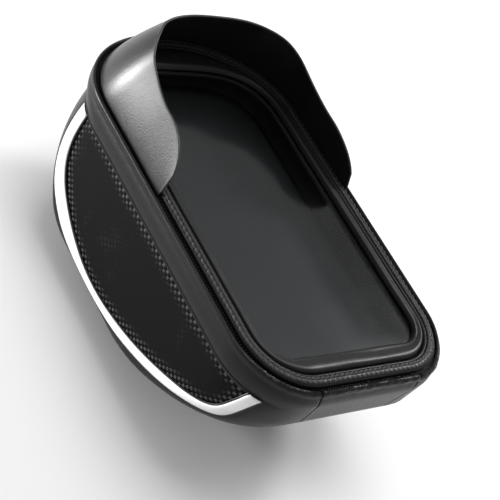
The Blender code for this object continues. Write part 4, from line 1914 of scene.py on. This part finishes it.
@dataclass
class Zip:
    """The zip round three sides, its tapes, coils, sliders and pulls, and the lid's cloth hinge."""

    rim: Rim
    end_gap: float = 21.0
    pitch: float = 1.35
    turn: Vector = field(default_factory=lambda: Vector((1.0, 0.8, 1.1)))
    coil_offset: float = 0.5
    coil_height: float = -1.75
    tape_step: float = 2.2
    hinge_step: float = 1.6
    hinge_half: float = 0.95
    slider_y: tuple[float, float] = (19.0, 31.0)
    bail_x: float = 58.0
    bail_height: float = 1.5
    pull_length: float = 24.0
    pull_width: float = 5.6
    pull_ribs: int = 13

    def build(self, finishes: Finishes) -> None:
        """Make and dress the zip.

        Args:
            finishes: the materials of the bag.
        """
        self._coils(finishes)
        self._tapes(finishes)
        self._hinge(finishes)
        for label, centre_y in zip("ab", self.slider_y):
            self._slider(label, centre_y, finishes)
            self._pull(label, centre_y, finishes)

    def _along_zip(self, point: Vector) -> bool:
        """Whether a rim point lies along the zip."""
        return not (abs(point.x) < self.end_gap and point.y > 0)

    def _coils(self, finishes: Finishes) -> None:
        """Both halves of the coil, tooth by tooth.

        Args:
            finishes: the materials of the bag.
        """
        for body, side, node in ((Body.SHELL, 1, "zip_coil_shell"), (Body.LID, -1, "zip_coil_lid")):
            shape = Shape()
            for point, normal in self.rim.stations(self.pitch, self._along_zip):
                along = Vector((-normal.y, normal.x, 0.0))
                place = point + normal * (side * self.coil_offset)
                shift = along * (self.pitch / 2 if side > 0 else 0.0)
                centre = Vector((*place, self.rim.z + self.coil_height)) + shift
                shape.bead(centre, Vector((*normal, 0.0)), Vector((0, 0, 1)), self.turn)
            dress(shape.make(node.replace("zip_coil", "coil_teeth"), [finishes.coil]), body, Slot.ZIP, node)

    def _tapes(self, finishes: Finishes) -> None:
        """Both tapes, each with a raised cord along the coil.

        Args:
            finishes: the materials of the bag.
        """
        stations = self.rim.stations(self.tape_step, self._along_zip)
        tapes = (
            (Body.SHELL, "zip_tape_shell", ((0.15, -3.25), (0.6, -3.0), (1.1, -3.05), (1.6, -3.2))),
            (Body.LID, "zip_tape_lid", ((-0.15, -2.95), (-0.7, -2.75), (-3.0, -2.85), (-5.9, -2.9))),
        )
        for body, node, profile in tapes:
            rows, lay = [], []
            for index, (point, normal) in enumerate(stations):
                row = []
                for offset, level in profile:
                    row.append(Vector((*(point + normal * offset), self.rim.z + level)))
                rows.append(row)
                lay.append([(offset, index * self.tape_step, 0.0) for offset, _ in profile])
            shape = Shape().grid(rows, lay=lay, flip=body is Body.SHELL)
            piece = shape.make(node.replace("zip_tape", "woven_tape"), [finishes.tape])
            thicken(piece, 0.35, 0.0)
            dress(piece, body, Slot.FABRIC, node)

    def _hinge(self, finishes: Finishes) -> None:
        """The cloth hinge across the groove at the far end, between shell and lid.

        Args:
            finishes: the materials of the bag.
        """
        stations = self.rim.stations(self.hinge_step, lambda point: not self._along_zip(point))
        places = (self.hinge_half, 0.6, 0.3, 0.0, -0.3, -0.6, -self.hinge_half)
        rows, lay = [], []
        for index, (point, normal) in enumerate(stations):
            row = []
            for offset in places:
                dip = 0.25 * (1.0 - (offset / self.hinge_half) ** 2)
                row.append(Vector((*(point + normal * offset), self.rim.z - 1.45 - dip)))
            rows.append(row)
            lay.append([(offset, index * self.hinge_step, 0.0) for offset in places])
        piece = Shape().grid(rows, lay=lay, flip=True).make("hinge_cloth", [finishes.tape])
        thicken(piece, 0.3, 0.0)
        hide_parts("lid_hinge_tape")
        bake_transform(piece)
        LOG.info("%s bends between shell and lid", piece.name)

    def _slider(self, label: str, centre_y: float, finishes: Finishes) -> None:
        """One slider: a waisted body over the groove with a bridge and two ears for the pull.

        Args:
            label: the slider's letter.
            centre_y: its middle along Y.
            finishes: the materials of the bag.
        """
        shape = Shape()
        inner = self.rim.half_width + 0.4
        outer = self.bail_x - 1.4
        middle = (inner + outer) / 2
        half = (outer - inner) / 2
        base = self.rim.z + 0.35
        sides = 20
        for low, high, grow in ((0.0, 0.65, 1.0), (0.85, 1.5, 0.86)):
            rows = []
            for height, shrink in ((low, 0.82), (low + 0.12, 1.0), (high - 0.12, 1.0), (high, 0.82)):
                ring = []
                for angle in circle(sides):
                    waist = 1.0 - 0.14 * math.cos(2 * angle) ** 2
                    across = squared(math.cos(angle), 0.5) * half * grow * shrink
                    along = squared(math.sin(angle), 0.7) * 4.5 * grow * shrink * waist
                    ring.append(Vector((middle + across, centre_y + along, base + height)))
                rows.append(ring)
            start = len(shape.points)
            shape.grid(rows, wrap_columns=True)
            shape.cap(sides, start, flip=True)
            shape.cap(sides, start + sides * (len(rows) - 1))
        spine = [Vector((inner + 0.7, centre_y, base + z)) for z in (-1.0, 0.3, 1.2)]
        shape.tube(spine, 0.4, up=Vector((0, 1, 0)))
        bail_z = self.rim.z + self.bail_height
        for side in (-1, 1):
            ear_y = centre_y + side * 2.2
            bends = ((outer - 1.6, -0.2), (outer - 0.2, 0.15), (self.bail_x, 0.0))
            ear = [Vector((x, ear_y, bail_z + z)) for x, z in bends]
            shape.tube(ear, 0.55, up=Vector((0, 1, 0)), sides=10)
        bar = [Vector((self.bail_x, centre_y + side * 2.4, bail_z)) for side in (-1, 1)]
        shape.tube(bar, 0.45, sides=12)
        piece = shape.make("slider_body_" + label, [finishes.metal])
        dress(piece, Body("slider_" + label), Slot.METAL, "zip_slider_" + label)

    def _pull(self, label: str, centre_y: float, finishes: Finishes) -> None:
        """One pull: a loop round the bail, a cord and a ribbed moulded grip.

        Args:
            label: the slider's letter.
            centre_y: the slider's middle along Y.
            finishes: the materials of the bag.
        """
        shape = Shape()
        bail_z = self.rim.z + self.bail_height
        loop = []
        for angle in circle(16):
            out, up = 0.8 * math.cos(angle), 0.8 * math.sin(angle)
            loop.append(Vector((self.bail_x + out, centre_y, bail_z + up)))
        shape.tube(loop, 0.3, up=Vector((0, 1, 0)), closed=True)
        for side in (-1, 1):
            strand = [
                Vector((self.bail_x, centre_y + side * spread, bail_z - drop))
                for spread, drop in ((0.2, 0.8), (0.6, 2.4), (0.9, 4.6), (0.9, 6.0))
            ]
            shape.tube(strand, 0.42, up=Vector((1, 0, 0)))
        rows = []
        length = self.pull_length - 4.6
        steps, sides = 60, 16
        for step in range(steps + 1):
            down = step / steps
            ribbed = smooth_step(0.08, 0.2, down) * smooth_step(0.98, 0.86, down)
            rib = 1.0 + 0.10 * math.cos(down * math.tau * self.pull_ribs) * ribbed
            top, tip = min(down * 5, 0.5), min((1 - down) * 7, 0.5)
            end = min(1.0, math.sin(math.pi * top) * math.sin(math.pi * tip) + 0.05)
            half_y = self.pull_width / 2 * (0.72 + 0.28 * down) * end * rib
            half_x = 0.62 * end * rib
            ring = []
            for angle in circle(sides):
                across = squared(math.cos(angle), 0.6) * half_y
                out = squared(math.sin(angle), 0.6) * half_x
                ring.append(Vector((self.bail_x + out, centre_y + across, bail_z - 4.4 - length * down)))
            rows.append(ring)
        start = len(shape.points)
        shape.grid(rows, wrap_columns=True, flip=True)
        shape.cap(sides, start)
        shape.cap(sides, start + sides * steps, flip=True)
        piece = shape.make("ribbed_pull_" + label, [finishes.coil])
        dress(piece, Body("pull_" + label), Slot.ZIP, "pull_tab_" + label)


@dataclass
class Inside:
    """The tub's cloth lining."""

    rim: Rim
    tub: Tub
    gap: float = 3.5
    top: float = -3.6
    rows: int = 30

    def build(self, finishes: Finishes) -> None:
        """Make and dress the lining.

        Args:
            finishes: the materials of the bag.
        """
        rows = []
        for share in reversed(self.tub.shares(self.rows)):
            inset = self.gap * (1.0 - 0.3 * share ** 2) + 0.3
            ring = self.tub.section(share, inset, (self.gap + 0.3) * share ** 2)
            rows.append([self._eased(point, share) for point in ring])
        for height in (-9.0, -6.0, self.top):
            rows.append(self.rim.ring(self.tub.offset - self.gap - 0.3, height))
        shape = Shape().grid(rows, wrap_columns=True)
        shape.cap(len(rows[0]), 0)
        piece = thicken(shape.make("lining_cloth", [finishes.lining]), 0.5, 0.0)
        dress(piece, Body.SHELL, Slot.FABRIC, "inner_lining")

    @staticmethod
    def _eased(point: Vector, share: float) -> Vector:
        """Move a point in by soft folds.

        Args:
            point: the point of the lining.
            share: its share of the depth.

        Returns:
            The moved point.
        """
        fold = 0.35 * abs(noise.noise(point * 0.05)) * smooth_step(0.05, 0.4, share)
        flat = Vector((point.x, point.y - 8.0, 0.0))
        return point - flat.normalized() * fold


@dataclass
class Base:
    """The rubber saddle's straps, each a closed loop of webbing."""

    strap_x: float = 21.0
    width: float = 25.0
    thickness: float = 1.6
    web: float = 2.4
    half_length: float = 30.3
    centre_y: float = 8.0
    fit: float = 0.3

    def build(self, finishes: Finishes) -> None:
        """Make and dress both straps.

        Args:
            finishes: the materials of the bag.
        """
        middle_z = self.thickness + self.fit + self.web / 2
        radius = self.web / 2 + self.fit + self.thickness / 2
        for side in Side:
            path = []
            for end, start in ((1, -90.0), (-1, 90.0)):
                for step in range(11):
                    angle = math.radians(start + 18.0 * step)
                    y = self.centre_y + end * self.half_length + radius * math.cos(angle)
                    path.append(Vector((0.0, y, middle_z + radius * math.sin(angle))))
                straight = [-0.8, -0.6, -0.4, -0.2, 0.0, 0.2, 0.4, 0.6, 0.8]
                for place in straight:
                    y = self.centre_y - end * place * self.half_length
                    path.append(Vector((0.0, y, middle_z + end * radius)))
            rows, lay = [], []
            run = 0.0
            places = [-0.5, -0.485, -0.4, -0.2, 0.0, 0.2, 0.4, 0.485, 0.5]
            for index, point in enumerate(path):
                run += (point - path[index - 1]).length if index else 0.0
                middle = side.value * self.strap_x
                rows.append([point + Vector((middle + self.width * x, 0, 0)) for x in places])
                lay.append([(self.width * x, run, 0.0) for x in places])
            shape = Shape().grid(rows, wrap_rows=True, lay=lay, flip=True)
            label = side.name.lower()
            piece = shape.make("webbing_loop_" + label, [finishes.webbing])
            thicken(piece, self.thickness - 0.1, 0.0)
            dress(piece, Body.SHELL, Slot.WEBBING, "strap_" + label)


class Studio:
    """The floor, the soft light and the camera at the photograph's angle."""

    camera_place = Vector((-376.3, -255.1, 385.2))
    camera_turn = Euler((math.radians(46.565), math.radians(-30.322), math.radians(-31.618)), "XYZ")
    lens = 93.96

    def build(self) -> None:
        """Make them all."""
        self._view()
        self._floor()
        self._world()
        self._softbox("key_left_far", Vector((-592, 608, 90)), (170, 130), 10.0)
        self._softbox("sheen_right", Vector((690, 70, 610)), (180, 240), 3.2)
        self._softbox("top", Vector((120, 120, 1250)), (900, 900), 9.0)
        self._camera()

    @staticmethod
    def _view() -> None:
        """Show the colours plainly, so that black stays black and the floor nearly white."""
        settings = bpy.context.scene.view_settings
        settings.view_transform = "Standard"
        settings.look = "None"
        settings.exposure = 0.0
        settings.gamma = 1.0

    def _floor(self) -> None:
        """A plain pale floor."""
        reach = 6000.0
        corners = [[Vector((x, y, -0.2)) for x in (-reach, reach)] for y in (-reach, reach)]
        graph = Graph("pale_floor")
        colour = graph.blend(graph.noise(300.0), grey(0.9), grey(0.92))
        finish = graph.finish(Base_Color=colour, Roughness=0.9)
        floor = Shape().grid(corners).make("floor", [finish])

    @staticmethod
    def _world() -> None:
        """An even pale surround."""
        world = bpy.data.worlds.new("surround")
        bpy.context.scene.world = world
        world.use_nodes = True
        background = world.node_tree.nodes["Background"]
        background.inputs["Color"].default_value = (1.0, 1.0, 1.0, 1.0)
        background.inputs["Strength"].default_value = 0.4

    @staticmethod
    def _softbox(name: str, place: Vector, size: tuple[float, float], power: float) -> None:
        """One rectangular light that faces the bag, with its place and size in millimetres.

        Args:
            name: the light's name.
            place: its place.
            size: its width and height.
            power: its power in watts.
        """
        light = bpy.data.lights.new(name, "AREA")
        light.shape = "RECTANGLE"
        light.size, light.size_y = size[0] * MM, size[1] * MM
        light.energy = power
        made = bpy.data.objects.new(name, light)
        made.location = place * MM
        aim = Vector((0, 0, 60)) - place
        made.rotation_euler = aim.to_track_quat("-Z", "Y").to_euler()
        bpy.context.scene.collection.objects.link(made)

    def _camera(self) -> None:
        """The camera, fitted to the photograph's outlines."""
        camera = bpy.data.cameras.new("camera")
        camera.lens = self.lens
        camera.clip_start = 0.01
        camera.clip_end = 50.0
        made = bpy.data.objects.new("camera", camera)
        made.location = self.camera_place * MM
        made.rotation_euler = self.camera_turn
        bpy.context.scene.collection.objects.link(made)
        bpy.context.scene.camera = made


def dress_kept_nodes(finishes: Finishes) -> None:
    """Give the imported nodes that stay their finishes.

    Args:
        finishes: the materials of the bag.
    """
    kept = {"lid_frame": finishes.board, "saddle_pad": finishes.rubber}
    for name, finish in kept.items():
        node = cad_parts[name]
        node.data.materials.clear()
        node.data.materials.append(finish)
        LOG.info("%s: finished with %s", name, finish.name)


def main() -> None:
    """Dress the whole bag and light it."""
    logging.basicConfig(level=logging.INFO, format="%(name)s: %(message)s")
    Studio().build()
    rim = Rim()
    tub = Tub(rim)
    form = SidePanelForm()
    finishes = Finishes()
    for part in (
        ShellSkin(rim, tub, form),
        SidePanels(rim, tub, form),
        Inside(rim, tub),
        Base(),
        Binding(rim),
        Window(rim),
        Pocket(rim),
        Visor(rim),
        Zip(rim),
    ):
        part.build(finishes)
    dress_kept_nodes(finishes)


if __name__ == "__main__":
    main()
